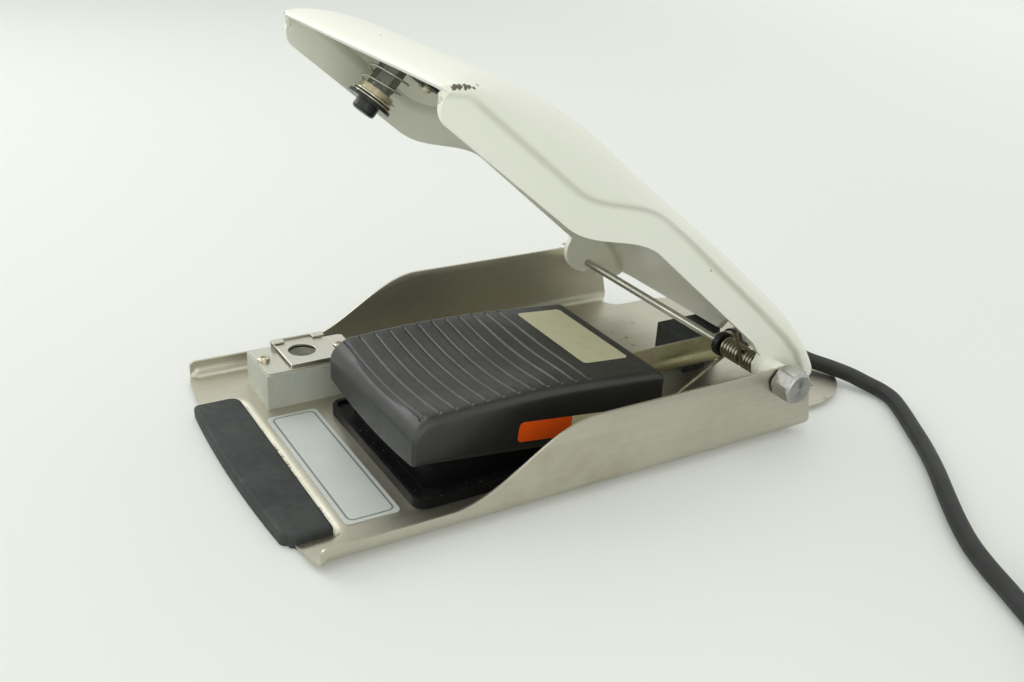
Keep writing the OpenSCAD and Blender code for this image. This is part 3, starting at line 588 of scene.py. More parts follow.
def pedal_plastic(name, light, dark, rough, specular):
    """Charcoal moulded plastic; pale dust on its ledges and lint on faces that look up."""
    material, net, shader = plastic(name, light, dark, rough, 1500.0, 0.10)
    at = net.objects()
    base = shader.inputs["Base Color"].links[0].from_socket
    upward = net.add("SeparateXYZ", Vector=net.add("NewGeometry").outputs["Normal"]).outputs["Z"]
    upward = net.range(upward, 0.75, 0.95)
    height = net.add("SeparateXYZ", Vector=at).outputs["Z"]
    ledge = net.math("MULTIPLY", upward, net.math("SUBTRACT", 1.0, net.range(height, 0.008, 0.014)))
    lint = use_group(net, SPECKS, Position=at, Scale=520.0, Size=0.15)["Mask"]
    share = net.math("ADD", net.math("MULTIPLY", ledge, 0.6), net.math("MULTIPLY", upward, 0.12))
    lint = net.math("MULTIPLY", lint, share)
    patchy = use_group(net, CLOUD, Position=at, Scale=120.0, Low=0.4, High=0.8)["Mask"]
    dust = net.math("MULTIPLY", ledge, patchy)
    base = net.mix(net.math("MULTIPLY", dust, 0.10), base, tone(110, 114, 108))
    base = net.mix(lint, base, tone(150, 156, 150))
    net.put(shader.inputs["Base Color"], base)
    set_plain(shader, Specular_IOR_Level=specular)
    return material


def ribbed_plastic():
    """The pedal's plastic, darkened along the narrow grooves of the tread as painted shade."""
    material = pedal_plastic("pedal plastic", tone(12, 16, 15), tone(9, 12, 11), 0.42, 0.9)
    net = Net(material.node_tree)
    shader = material.node_tree.nodes["Principled BSDF"]
    base = shader.inputs["Base Color"].links[0].from_socket
    low, high = (np.array(c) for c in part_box("switch_pedal"))
    first = float(from_tray([0, RIB_FROM, 0])[1])
    groove_shade = use_group(net, GROOVES, Position=net.objects(), First=first, Pitch=RIB_PITCH * MM,
                     Length=(RIB_COUNT - 0.5) * RIB_PITCH * MM, Width=0.00032,
                     Middle=float((low + high)[0] / 2), Half_width=0.0386,
                     Above=float(high[2]) - 0.012)["Mask"]
    # painted shade: the tread's grooves are darkened where they lie in shade
    net.put(shader.inputs["Base Color"], net.mix(net.math("MULTIPLY", groove_shade, 0.9), base, tone(10, 13, 13)))
    return material


def plate_finish():
    """Bare satin plate with a thin dark line inside its rounded edge."""
    material, net, shader = metal("name plate", tone(212, 216, 212), tone(206, 210, 206), 0.38,
                                  (60.0, 900.0, 60.0), 0.08, 0.02, 50.0)
    low, high = (np.array(c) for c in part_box("name_plate"))
    centre, half = (low + high) / 2, (high - low) / 2
    inset, radius = 0.0021, 0.0026
    line = use_group(net, BORDER, Position=net.objects(), Centre=tuple(centre),
                     Half_size=(half[0] - inset - radius, half[1] - inset - radius, 1.0),
                     Radius=radius, Width=0.00032)["Line"]
    base = shader.inputs["Base Color"].links[0].from_socket
    net.put(shader.inputs["Base Color"], net.mix(net.math("MULTIPLY", line, 0.7), base, tone(60, 66, 68)))
    net.put(shader.inputs["Metallic"], 0.3)
    return material


def film(name, light, dark):
    """Printed-film label left bare: slight tooth, a little handling grime."""
    material, net, shader = new_material(name)
    at = net.objects()
    cloud = use_group(net, CLOUD, Position=at, Scale=90.0, Low=0.45, High=0.75)["Mask"]
    net.put(shader.inputs["Base Color"], net.mix(net.math("MULTIPLY", cloud, 0.5), light, dark))
    net.put(shader.inputs["Roughness"], net.lerp(cloud, 0.42, 0.55))
    net.put(shader.inputs["Normal"], bump(net, net.noise(at, 2600.0, 2.0), 0.05))
    return material, net, shader


def side_film():
    """Bare orange film whose rear part is a cream strip."""
    material, net, shader = film("side label film", tone(232, 86, 6), tone(214, 78, 4))
    base = shader.inputs["Base Color"].links[0].from_socket
    y = net.add("SeparateXYZ", Vector=net.objects()).outputs["Y"]
    split, soft = float(from_tray([0.0, 118.5, 0.0])[1]), 0.0001
    cream = net.range(y, split - soft, split + soft)
    net.put(shader.inputs["Base Color"], net.mix(cream, base, tone(214, 206, 172)))
    return material


def yellow_zinc():
    """Yellow zinc plating: brassy with a faint pink and green play of colour."""
    material, net, shader = metal("yellow zinc", tone(204, 198, 164), tone(164, 160, 128), 0.28,
                                  (900.0, 40.0, 900.0), 0.12)
    at = net.objects()
    wave = net.noise(at, 70.0, 3.0, 0.6)
    base = shader.inputs["Base Color"].links[0].from_socket
    base = net.mix(net.math("MULTIPLY", net.range(wave, 0.5, 0.65), 0.4), base, tone(206, 176, 170))
    base = net.mix(net.math("MULTIPLY", net.range(wave, 0.5, 0.38), 0.35), base, tone(160, 172, 142))
    net.put(shader.inputs["Base Color"], base)
    return material


def turned_steel():
    """Steel with lathe rings: its gloss is drawn out round the X axis."""
    material, net, shader = metal("turned steel", tone(188, 188, 184), tone(166, 166, 162), 0.26,
                                  (900.0, 120.0, 120.0), 0.08, 0.01)
    shader.inputs["Anisotropic"].default_value = 0.8
    round_x = net.add("Tangent", {"direction_type": "RADIAL", "axis": "X"}).outputs["Tangent"]
    net.put(shader.inputs["Tangent"], round_x)
    return material


def latch_alloy():
    """Bead-blasted alloy of the latch block, dull enough to be only part metal."""
    material, _, shader = metal("latch block alloy", tone(206, 208, 198), tone(192, 194, 182), 0.52,
                                (500.0, 500.0, 500.0), 0.1, 0.08)
    shader.inputs["Metallic"].default_value = 0.35
    return material


def strap_weave():
    """Hook-and-loop strap: crossed ribs of a coarse weave."""
    material, net, shader = new_material("strap weave")
    at = net.objects()
    ribs = net.add("TexWave", {"wave_type": "BANDS", "bands_direction": "DIAGONAL"}, Vector=at, Scale=900.0,
                   Distortion=1.5, Detail=2.0).outputs["Fac"]
    fuzz = net.noise(at, 1800.0, 3.0, 0.7)
    net.put(shader.inputs["Base Color"], net.mix(fuzz, tone(26, 26, 28), tone(52, 52, 54)))
    net.put(shader.inputs["Roughness"], net.lerp(fuzz, 0.85, 0.95))
    net.put(shader.inputs["Normal"], bump(net, net.math("ADD", ribs, fuzz), 0.5))
    return material


TRAY_STEEL = tray_steel()
ENAMEL = enamel()
PEDAL = ribbed_plastic()
SWITCH = pedal_plastic("switch plastic", tone(9, 11, 11), tone(6, 8, 8), 0.5, 0.2)
PLATE = plate_finish()
CREAM_FILM = film("rating label film", tone(206, 202, 172), tone(188, 182, 150))[0]
SIDE_FILM = side_film()
ZINC = yellow_zinc()
STRAP = strap_weave()
RUBBER = plastic("black rubber", tone(52, 57, 55), tone(38, 42, 41), 0.6, 2200.0, 0.12)[0]
BLACK = plastic("black plastic", tone(26, 27, 27), tone(18, 19, 19), 0.42, 1800.0, 0.06)[0]
INNER = plastic("inner plastic", tone(36, 36, 38), tone(28, 28, 30), 0.5, 1800.0, 0.05)[0]
BUTTON = plastic("button plastic", tone(150, 60, 42), tone(130, 50, 36), 0.4, 1800.0, 0.04)[0]
JACKET = plastic("lead jacket", tone(34, 36, 36), tone(24, 26, 26), 0.5, 2600.0, 0.10, 25.0)[0]
TIP = plastic("catch tip plastic", tone(24, 28, 29), tone(18, 20, 21), 0.30, 1800.0, 0.03)[0]
BLOCK = latch_alloy()
LATCH_SHEET = metal("latch sheet", tone(214, 212, 202), tone(200, 197, 186), 0.33,
                    (30.0, 900.0, 900.0), 0.10, 0.05)[0]
NICKEL = metal("nickel", tone(214, 208, 190), tone(190, 182, 160), 0.2, (300.0, 300.0, 300.0), 0.12, 0.02)[0]
PIN_STEEL = metal("drawn steel", tone(205, 203, 196), tone(176, 174, 166), 0.3,
                  (20.0, 900.0, 900.0), 0.16, 0.08)[0]
CAP_STEEL = turned_steel()
DARK_SPRING = metal("oiled spring wire", tone(176, 168, 150), tone(140, 132, 116), 0.26,
                    (200.0, 200.0, 200.0), 0.14, 0.04)[0]
BRIGHT_SPRING = metal("bright spring wire", tone(202, 196, 184), tone(170, 164, 150), 0.22,
                      (200.0, 200.0, 200.0), 0.12, 0.03)[0]
POST_STEEL = metal("blackened steel", tone(140, 142, 134), tone(108, 110, 104), 0.36,
                   (900.0, 900.0, 60.0), 0.14, 0.08)[0]
CONTACT_GOLD = metal("contact gold", tone(222, 186, 110), tone(196, 160, 90), 0.2,
                     (200.0, 200.0, 200.0), 0.1, 0.02)[0]


# ------------------------------------------------------------------ lead, coil and plug

# the lead's route from the gland to the coil, and from the coil to the plug, in mm
LEAD_ROUTE = [
    (22, 111, 18.6), (22, 117, 18.3), (23, 125, 16.6), (26.5, 132.5, 13.6), (32, 139, 10.6),
    (40, 144.8, 8.2), (50, 150, 7.5), (60, 154.5, 6.6), (68, 158, 4.9), (76, 160, 4.1),
    (84, 159, 3.9), (92.5, 154.8, 3.9), (101, 149.8, 3.9), (109.5, 144.5, 3.9),
    (125, 134.8, 3.9), (141, 123.5, 3.9), (157, 110.8, 3.9), (172.5, 98.8, 3.9),
    (187, 89, 3.9), (200, 82.5, 3.9), (212, 77.6, 3.9), (223, 73, 3.9), (241, 65.6, 3.9), (258.9, 58.3, 3.9)]
TAIL_ROUTE = [
    (270.6, 54.8, 11.7), (278, 53.5, 11.6), (285.4, 52.6, 11.4), (293, 52.1, 11.1),
    (300.3, 51.9, 10.8), (307.8, 51.9, 10.6), (315, 51.9, 10.5)]
LEAD_DIAMETER = 7.8
COIL_LOW, COIL_HIGH = (np.array(c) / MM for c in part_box("cord_coil"))
COIL_CENTRE = (COIL_LOW + COIL_HIGH) / 2
COIL_OUTER = (COIL_HIGH[0] - COIL_LOW[0]) / 2 - LEAD_DIAMETER / 2
TURNS_ACROSS = 4
COIL_START, COIL_END = -113.0, -100.0


def coil_turns():
    """Turns lying inward on the surface, then outward on top; each turn keeps its radius and
    moves over to the next one in its last eighth."""
    whole = 2 * TURNS_ACROSS * 360.0
    angle = np.linspace(0.0, whole + COIL_END - COIL_START, 2 * TURNS_ACROSS * 40 + 2)
    turn_no = np.clip(np.floor(angle / 360.0), 0, 2 * TURNS_ACROSS - 1)
    part = angle / 360.0 - turn_no
    step_over = smoothstep(0.875, 1.0, np.minimum(part, 1.0))
    ranks = np.concatenate([np.arange(TURNS_ACROSS), np.arange(TURNS_ACROSS)[::-1], [0]])
    here, after = ranks[turn_no.astype(int)], ranks[turn_no.astype(int) + 1]
    rank = here + (after - here) * step_over
    layer = np.where(turn_no < TURNS_ACROSS, 0.0, 1.0)
    layer = np.where(turn_no == TURNS_ACROSS - 1, step_over, layer)
    radius = COIL_OUTER - rank * LEAD_DIAMETER
    a = np.radians(COIL_START + angle)
    return np.stack([COIL_CENTRE[0] + radius * np.cos(a), COIL_CENTRE[1] + radius * np.sin(a),
                     LEAD_DIAMETER * (0.5 + layer)], 1)


def lead():
    """Round lead: its route to the coil, the coil's turns and its tail, as one path."""
    step = 3.0
    path = np.concatenate([smooth_path(LEAD_ROUTE, step)[:-1], coil_turns()[:-1],
                           smooth_path(TAIL_ROUTE, step)])
    mesh = mesh_of("lead", swept(path * MM, LEAD_DIAMETER / 2 * MM, (0, 0, 1), 16))
    obj = place(mesh, "base", JACKET, ["cord", "cord_coil"])
    tie()
    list(plug())


def round_corners(half_x, low, high, radius):
    """Rounded rectangle from its top right corner round, |x| up to half_x, closed."""
    x = half_x - radius
    ring = [arc((x, high - radius), radius, 0, 90, 9), arc((-x, high - radius), radius, 90, 180, 9),
            arc((-x, low + radius), radius, 180, 270, 9), arc((x, low + radius), radius, 270, 360, 9)]
    return np.concatenate([*ring, ring[0][:1]])


def tie():
    """Strap round the coil: a rounded rectangle carried once round the bundle, 12 mm wide."""
    low, high = (np.array(c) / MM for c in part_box("coil_tie"))
    middle = (low + high) / 2 - COIL_CENTRE
    angle = math.atan2(middle[1], middle[0])
    reach = math.hypot(middle[0], middle[1])
    slack, strap = 0.35, 0.45
    top = 2 * LEAD_DIAMETER + slack
    ring = round_corners(TURNS_ACROSS * LEAD_DIAMETER / 2 + slack, strap, top, 3.6)
    across = np.linspace(-6.0, 6.0, 7)
    out = np.array([math.cos(angle), math.sin(angle), 0.0])
    along = np.array([-math.sin(angle), math.cos(angle), 0.0])
    centre = np.array([COIL_CENTRE[0], COIL_CENTRE[1], 0.0])
    grid = (centre + (reach + ring[:, 0])[:, None, None] * out
            + ring[:, 1][:, None, None] * np.array([0, 0, 1.0]) + across[None, :, None] * along)
    mesh = mesh_of("coil_strap", [grid * MM])
    outward(mesh, (centre + reach * out + [0, 0, top / 2]) * MM)
    obj = place(mesh, "base", STRAP, ["coil_tie"])
    wall = obj.modifiers.new("wall", "SOLIDIFY")
    wall.thickness = strap * MM
    wall.offset = 1
    return obj


def plug():
    """Round plug along X: grooved boot, body, knurled coupling ring and its contacts."""
    origin = np.array(TAIL_ROUTE[-1]) * MM
    axis = (1.0, 0.0, 0.0)
    x = np.linspace(-9.0, 16.0, 101)
    taper = 5.0 + 2.4 * smoothstep(-9.0, 12.0, x)
    grooves = 0.7 * (np.cos(2 * np.pi * (x + 6.0) / 3.0) < -0.2) * (x > -6.5) * (x < 9.5)
    boot = [(0.0, 2.0), (3.95, 2.0), (3.95, -9.0), *zip(taper - grooves, x), (0.0, 16.0)]
    pieces = [place(mesh_of("plug_boot", [turned(np.array(boot) * MM, origin, axis)]), "base", BLACK,
                    ["connector_boot"], bevel=0.15)]
    body = [(0, 16), (8.6, 16), (9, 16.5), (9, 24), (8.6, 24.4), (8.6, 25.4), (9, 25.8), (9, 41.6), (8.6, 42),
            (7.9, 42), (7.6, 41.7), (7.6, 36), (0, 36)]
    pieces.append(place(mesh_of("plug_body", [turned(np.array(body) * MM, origin, axis)]), "base", NICKEL,
                        ["connector_body"], bevel=0.12))
    a = np.linspace(0, 2 * np.pi, 145)
    h = np.array([26.0, 26.0, 26.6, 28.0, 28.4, 37.6, 38.0, 39.4, 40.0, 40.0])
    r = np.array([9.1, 9.9, 10.3, 10.3, 10.5, 10.5, 10.3, 10.3, 9.9, 9.1])
    knurl = 0.35 * (0.5 - 0.5 * np.cos(36 * a))[None, :] * ((h > 28.2) & (h < 37.8))[:, None]
    spokes = np.stack([np.zeros_like(a), np.cos(a), np.sin(a)], 1)
    ring = origin + (h[:, None, None] * np.array([1.0, 0, 0])
                     + (r[:, None] - knurl)[:, :, None] * spokes[None]) * MM
    ring = np.concatenate([ring, ring[:1]])
    pieces.append(place(mesh_of("plug_ring", [ring]), "base", NICKEL, ["connector_ring"]))
    pieces.append(worn("connector_pins", CONTACT_GOLD, 0.15))
    return pieces


lead()

# ------------------------------------------------------------------ cover

COVER_HALF, SHOULDER_WIDE, SHOULDER_HIGH = 77.5, 23.0, 14.5
COVER_TOP, COVER_WALL = 58.0, 3.0
LIP_Y, LIP_Z, NOSE_SPAN, NOSE_POWER = -4.8, 31.0, 79.8, 1.85
TAIL_Y, TAIL_SPAN, TAIL_Z, TAIL_POWER = HINGE[1] - 29.6, 60.0, 36.0, 2.5
REAR_Z, MIDWAY = 41.0, 132.0
FRONT_CORNER, REAR_CORNER = 4.0, 8.0
SKIRT_LOW, SKIRT_HIGH, SKIRT_CORNER, SKIRT_RISES = 22.2, 38.0, 8.0, 74.0
SKIRT_INSET, CREASE_LIFT, CREASE_RISES = 2.5, 13.3, 66.0
RISE_SPAN = 48.0
# middle of each hinge lobe as (y, z), and its radius
LOBE_NEAR = (HINGE[1], HINGE[2] + 3.0, 9.0)
LOBE_FAR = (HINGE[1] - 6.6, HINGE[2] + 5.2, 12.8)
ARCH_X, ARCH_Z, ARCH_R, ARCH_FROM = 22.0, 38.2, 10.5, 235.0
TRIMMED_ROWS = 60


def shoulder(y):
    """Width and height of the shoulder: broad over the pedal, tighter from the switch back."""
    t = smoothstep(90.0, 150.0, y)
    return SHOULDER_WIDE - 9.0 * t, SHOULDER_HIGH - 5.5 * t


def cosine_rise(y, start):
    """0 before start, 1 after RISE_SPAN more, half a cosine wave between them."""
    return (1 - np.cos(np.pi * np.clip((y - start) / RISE_SPAN, 0, 1))) / 2


def skirt_edge(y, lobe):
    """Lower edge of a skirt: lip, rounded corner, S rise, hinge lobe, then up to the rear."""
    r = SKIRT_CORNER
    corner = SKIRT_LOW + r - np.sqrt(np.clip(r ** 2 - np.clip(r - 1.5 - y, 0, r) ** 2, 0, None))
    front = np.where(y < -1.5, LIP_Z, corner)
    rise = SKIRT_LOW + (SKIRT_HIGH - SKIRT_LOW) * cosine_rise(y, SKIRT_RISES)
    rear = np.interp(y, [122, 201.6, 206.5, 232.5, 240, 249.4], [38, 36.2, 34.6, 31.8, 33, REAR_Z])
    edge = np.where(y < 8, front, np.where(y < 122, rise, rear))
    lobe_y, lobe_z, radius = lobe
    round_end = lobe_z - np.sqrt(np.clip(radius ** 2 - (y - lobe_y) ** 2, 0, None))
    return np.where(np.abs(y - lobe_y) < radius, np.minimum(edge, round_end), edge)


def crease(y):
    """Height of the step between the upper band and the inset skirt."""
    low, high = SKIRT_LOW + CREASE_LIFT, SKIRT_HIGH + 12.8
    rise = low + (high - low) * cosine_rise(y, CREASE_RISES)
    tail = np.interp(y, [114, 128, 148, 191, 214, 227.6, 236.5, 250],
                     [high, high, 49.9, 49, 48, 46.3, 42.9, 36])
    front = np.interp(y, [-5, 0, 6, 12], [29, 31.3, 35, low])
    return np.where(y < 12, front, np.where(y < CREASE_RISES + RISE_SPAN, rise, tail))


def plan_half(y):
    """Half width in plan: straight sides with round front and rear corners."""
    back = TAIL_Y + TAIL_SPAN
    front = COVER_HALF - FRONT_CORNER + np.sqrt(np.clip(
        FRONT_CORNER ** 2 - np.clip(LIP_Y + FRONT_CORNER - y, 0, FRONT_CORNER) ** 2, 0, None))
    rear = COVER_HALF - REAR_CORNER + np.sqrt(np.clip(
        REAR_CORNER ** 2 - np.clip(y - back + REAR_CORNER, 0, REAR_CORNER) ** 2, 0, None))
    return np.minimum(front, rear)


def top_curve():
    """Rows along the cover: nose superellipse, flat, rear superellipse, as (y, top height)."""
    t = np.radians(np.linspace(180, 90, 56))
    nose = np.stack([LIP_Y + NOSE_SPAN - NOSE_SPAN * np.abs(np.cos(t)) ** (2 / NOSE_POWER),
                     LIP_Z + (COVER_TOP - LIP_Z) * np.sin(t) ** (2 / NOSE_POWER)], 1)
    y = np.linspace(LIP_Y + NOSE_SPAN, TAIL_Y, 58)[1:]
    flat = np.stack([y, np.full(len(y), COVER_TOP)], 1)
    y = np.linspace(TAIL_Y, HINGE[1] + 21, 84)[1:]
    c = ((y - TAIL_Y) / TAIL_SPAN) ** (TAIL_POWER / 2)
    rear_z = TAIL_Z + (COVER_TOP - TAIL_Z) * np.sqrt(1 - c ** 2) ** (2 / TAIL_POWER)
    rear = np.stack([y, rear_z], 1)
    end = math.asin(((REAR_Z - TAIL_Z) / (COVER_TOP - TAIL_Z)) ** (TAIL_POWER / 2))
    t = np.linspace(math.acos(c[-1]), end, 22)[1:]
    fall = np.stack([TAIL_Y + TAIL_SPAN * np.cos(t) ** (2 / TAIL_POWER),
                     TAIL_Z + (COVER_TOP - TAIL_Z) * np.sin(t) ** (2 / TAIL_POWER)], 1)
    return np.concatenate([nose, flat, rear, fall])


def half_section(y, top, lobe):
    """One side's rows: up the skirt, over a quarter-ellipse shoulder, in to the middle. The
    shoulder's height is shared out between the top line and a side line, so that it fades
    into the lip and into the rear wall. Below the crease the skirt steps in."""
    wide, high = shoulder(y)
    base = np.where(y < MIDWAY, LIP_Z, REAR_Z)
    side = base + (top - base) * (COVER_TOP - high - base) / (COVER_TOP - base)
    half = plan_half(y)
    edge = np.minimum(skirt_edge(y, lobe), side)
    k = np.linspace(0, 1, 40)[None, :]
    skirt_z = edge[:, None] + (side - edge)[:, None] * k
    skirt_x = np.broadcast_to(half[:, None], skirt_z.shape)
    phi = np.pi / 2 * np.linspace(0, 1, 25)[None, 1:] ** 1.3
    shoulder_x = half[:, None] - wide[:, None] * (1 - np.cos(phi))
    shoulder_z = side[:, None] + (top - side)[:, None] * np.sin(phi)
    flat_x = (half - wide)[:, None] * np.linspace(1, 0, 16)[None, 1:]
    flat_z = np.broadcast_to(top[:, None], flat_x.shape)
    x = np.concatenate([skirt_x, shoulder_x, flat_x], 1)
    z = np.concatenate([skirt_z, shoulder_z, flat_z], 1)
    step = smoothstep(-1.3, 1.3, crease(y)[:, None] - z)
    return np.minimum(x, COVER_HALF - SKIRT_INSET * step), z


def cover_shell():
    """Sections across the cover, front to rear, from the near skirt's edge to the far one's,
    which has the larger hinge lobe. The rear rows are trimmed for the tube's arch."""
    rows = top_curve()
    y, top = rows[:, 0], rows[:, 1]
    x, z = half_section(y, top, LOBE_NEAR)
    far_x, far_z = half_section(y, top, LOBE_FAR)
    x = np.concatenate([x, -far_x[:, -2::-1]], 1)
    z = np.concatenate([z, far_z[:, -2::-1]], 1)
    yy = np.broadcast_to(y[:, None], x.shape).copy()
    arch = np.sqrt(np.clip(ARCH_R ** 2 - (x - ARCH_X) ** 2, 0, None)) + ARCH_Z
    cut = np.where((np.abs(x - ARCH_X) < ARCH_R) & (yy > ARCH_FROM), arch, 0.0)
    last = slice(-TRIMMED_ROWS, None)
    trimmed = np.maximum(z[last], cut[last])
    height = np.clip((trimmed - TAIL_Z) / (COVER_TOP - TAIL_Z), 0, 1)
    c = np.sqrt(np.clip(1 - height ** TAIL_POWER, 0, 1))
    on_tail = TAIL_Y + TAIL_SPAN * c ** (2 / TAIL_POWER)
    yy[last] = np.where(trimmed > z[last] + 1e-9, on_tail, yy[last])
    z[last] = trimmed
    return np.stack([x, yy, z], -1)


def mark_crease_shade(mesh):
    """Point attribute "crease", the mask of the painted shade under the step over the skirt: 1 just under the
    step, gone 2.4 mm below it.
    """
    at = np.zeros(len(mesh.vertices) * 3)
    mesh.vertices.foreach_get("co", at)
    at = at.reshape(-1, 3) / MM - TRAY_ORIGIN - [0.0, HINGE[1], HINGE[2]]
    c, s = math.cos(OPEN), math.sin(OPEN)
    y, z = at[:, 1] * c - at[:, 2] * s + HINGE[1], at[:, 1] * s + at[:, 2] * c + HINGE[2]
    below = crease(y) - z
    crease_shade = smoothstep(-1.0, 0.6, below) * (1 - smoothstep(0.8, 3.0, below)) * (np.abs(at[:, 0]) > 71.0)
    crease_shade = crease_shade * smoothstep(4.0, 14.0, y) * (1 - smoothstep(238.0, 246.0, y))
    mesh.attributes.new("crease", "FLOAT", "POINT").data.foreach_set("value", crease_shade)


def cover():
    """The casting: its outer surface, given its wall inwards and rounded edges."""
    mesh = mesh_of("guard_cover", [from_cover(cover_shell())], weld=1.2e-4)
    outward(mesh, from_cover([0.0, 120.0, 40.0]))
    mark_crease_shade(mesh)
    place(mesh, "cover", ENAMEL, ["cover"], thickness=COVER_WALL, bevel=0.7, angle=50,
          segments=3, even=False)


cover()

# ------------------------------------------------------------------ tray

SHEET, BEND, RECESS = 1.2, 6.2, 0.9
FLOOR_HALF = TRAY_HALF - BEND
FRONT_WALL, RISE_FROM, RISE_TO = 8.5, 50.0, 118.0
TONGUE_HALF, TONGUE_ROUND, NECK_ROUND = FLOOR_HALF - 8.0, 38.0, 8.0
FLOOR_END, WALL_ROUND, WALL_SLANT = WALL_LENGTH - 6.0, 12.0, 0.24


def box_in_tray(node):
    """A CAD node's box in the tray frame, in mm."""
    low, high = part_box(node)
    return np.array(low) / MM - TRAY_ORIGIN, np.array(high) / MM - TRAY_ORIGIN


def rounded_distance(x, y, x0, x1, y0, y1, r):
    """Signed distance to a rectangle with round corners: |max(q, 0)| + min(max(q), 0) - r."""
    qx = np.abs(x - (x0 + x1) / 2) - (x1 - x0) / 2 + r
    qy = np.abs(y - (y0 + y1) / 2) - (y1 - y0) / 2 + r
    return np.hypot(np.maximum(qx, 0), np.maximum(qy, 0)) + np.minimum(np.maximum(qx, qy), 0) - r


def floor_height(x, y):
    """Underside of the floor: level, pressed down in a soft step around the rubber edging."""
    x0, x1, rear, r = BUMPER
    away = rounded_distance(x, y, x0, x1, -60.0, rear, r)
    return -RECESS * (1 - smoothstep(1.2, 4.4, away))


def wall_top(y):
    """Top edge of a wall: low run, cosine S, level run, round rear corner."""
    s = (1 - np.cos(np.pi * np.clip((y - RISE_FROM) / (RISE_TO - RISE_FROM), 0, 1))) / 2
    into = np.clip(y - WALL_LENGTH + WALL_ROUND, 0, None)
    rear = WALL_ROUND - np.sqrt(np.clip(WALL_ROUND ** 2 - into ** 2, 0, None))
    return FRONT_WALL + (WALL_HIGH - FRONT_WALL) * s - rear


def wall_columns(y):
    """Points up a wall from the floor: round the bend, then straight to the top edge. Near
    the rear each point moves forward by WALL_SLANT times its height."""
    low = BEND - np.sqrt(np.clip(BEND ** 2 - np.clip(y - FLOOR_END, 0, BEND) ** 2, 0, None))
    start = np.arccos(np.clip((BEND - low) / BEND, -1, 1))
    angle = start[:, None] + (np.pi / 2 - start)[:, None] * np.linspace(0, 1, 9)[None, :]
    bend_x, bend_z = FLOOR_HALF + BEND * np.sin(angle), BEND - BEND * np.cos(angle)
    up = np.linspace(0, 1, 8)[None, 1:]
    wall_z = BEND + (wall_top(y) - BEND)[:, None] * up
    x = np.concatenate([bend_x, np.full_like(wall_z, TRAY_HALF)], 1)
    z = np.concatenate([bend_z, wall_z], 1)
    slant = WALL_SLANT * z * smoothstep(FLOOR_END - 26.0, FLOOR_END + 5.0, y)[:, None]
    return np.stack([x, y[:, None] - slant, z], -1)


def bow(x):
    """How far the front edge falls back at x from the middle, a parabola."""
    return FRONT_BOW * (x / BOW_HALF) ** 2


def lip_edge(x):
    """Bowed front edge of the floor."""
    return -FRONT_LIP + bow(x)


def front_corner(fade):
    """Wall's front end, forward of y = 0: the bend tightens to a small radius at the lip's
    edge, where the wall stops with a top corner of the same radius."""
    small = 2.2
    back = (1 - fade)[:, None]
    into = np.clip(small - 3.85 * back, 0, small)
    top = FRONT_WALL - small + np.sqrt(np.clip(small ** 2 - into ** 2, 0, None))
    bend = small + (BEND - small) * smoothstep(0.0, 1.0, back)
    a = np.linspace(0, np.pi / 2, 9)[None, :]
    up = np.linspace(0, 1, 8)[None, 1:]
    x = np.concatenate([np.full_like(bend, FLOOR_HALF), TRAY_HALF - bend + bend * np.sin(a),
                        np.broadcast_to(TRAY_HALF, (len(fade), 7))], 1)
    z = np.concatenate([np.zeros_like(bend), bend - bend * np.cos(a), bend + (top - bend) * up], 1)
    y = (lip_edge(FLOOR_HALF) + 0.28 * (x - FLOOR_HALF)) * fade[:, None]
    return np.stack([x, y, z], -1)


def tongue(x):
    """Flat tongue behind the floor: the floor's columns drawn in at the neck, then round the
    rear corners; half width = TONGUE_HALF + neck - turn, each a quarter circle."""
    quarter = np.radians(np.linspace(0, 90, 20))
    y = np.concatenate([FLOOR_END + NECK_ROUND * np.sin(np.radians(np.linspace(0, 90, 8))), [254.0],
                        TONGUE_END - TONGUE_ROUND + TONGUE_ROUND * np.sin(quarter)])
    into_neck = np.clip(FLOOR_END + NECK_ROUND - y, 0, None)
    neck = NECK_ROUND - np.sqrt(np.clip(NECK_ROUND ** 2 - into_neck ** 2, 0, None))
    into_turn = np.clip(y - TONGUE_END + TONGUE_ROUND, 0, TONGUE_ROUND)
    turn = TONGUE_ROUND - np.sqrt(np.clip(TONGUE_ROUND ** 2 - into_turn ** 2, 0, None))
    half = TONGUE_HALF + neck - turn
    wide = half[:, None] * (x / FLOOR_HALF)[None, :]
    return np.stack([wide, np.broadcast_to(y[:, None], wide.shape), np.zeros_like(wide)], -1)


def tray():
    """U section with walls that end in round corners, a tongue behind and a bowed lip in front."""
    y = np.concatenate([[0.0, 0.25, 0.6, 1.1, 1.6, 2.2], np.arange(3.0, 16.5, 0.9),
                        np.arange(18, RISE_FROM, 4), np.arange(RISE_FROM, RISE_TO, 1.7),
                        np.arange(RISE_TO, 230, 6), np.linspace(232.0, FLOOR_END, 7)])
    x = np.linspace(-FLOOR_HALF, FLOOR_HALF, 106)
    floor_x, floor_y = np.meshgrid(x, y)
    patches = [np.stack([floor_x, floor_y, floor_height(floor_x, floor_y)], -1)]
    ends = WALL_LENGTH - WALL_ROUND + WALL_ROUND * np.sin(np.radians(np.linspace(30, 90, 12)))
    for rows in (y, ends):
        wall = wall_columns(rows)
        patches += [wall, wall * [-1, 1, 1]]
    patches.append(tongue(x))
    fade = np.cos(np.radians(np.linspace(0, 90, 17)))
    lip_y = fade[:, None] * lip_edge(x)[None, :]
    lip_x = np.broadcast_to(x, lip_y.shape)
    patches.append(np.stack([lip_x, lip_y, floor_height(lip_x, lip_y)], -1))
    corner = front_corner(fade)
    patches += [corner, corner * [-1, 1, 1]]
    mesh = mesh_of("tray_sheet", [from_tray(p) for p in patches])
    outward(mesh, from_tray([0.0, 150.0, 8.0]))
    place(mesh, "base", TRAY_STEEL, ["tray"], thickness=SHEET, bevel=0.3, angle=55)


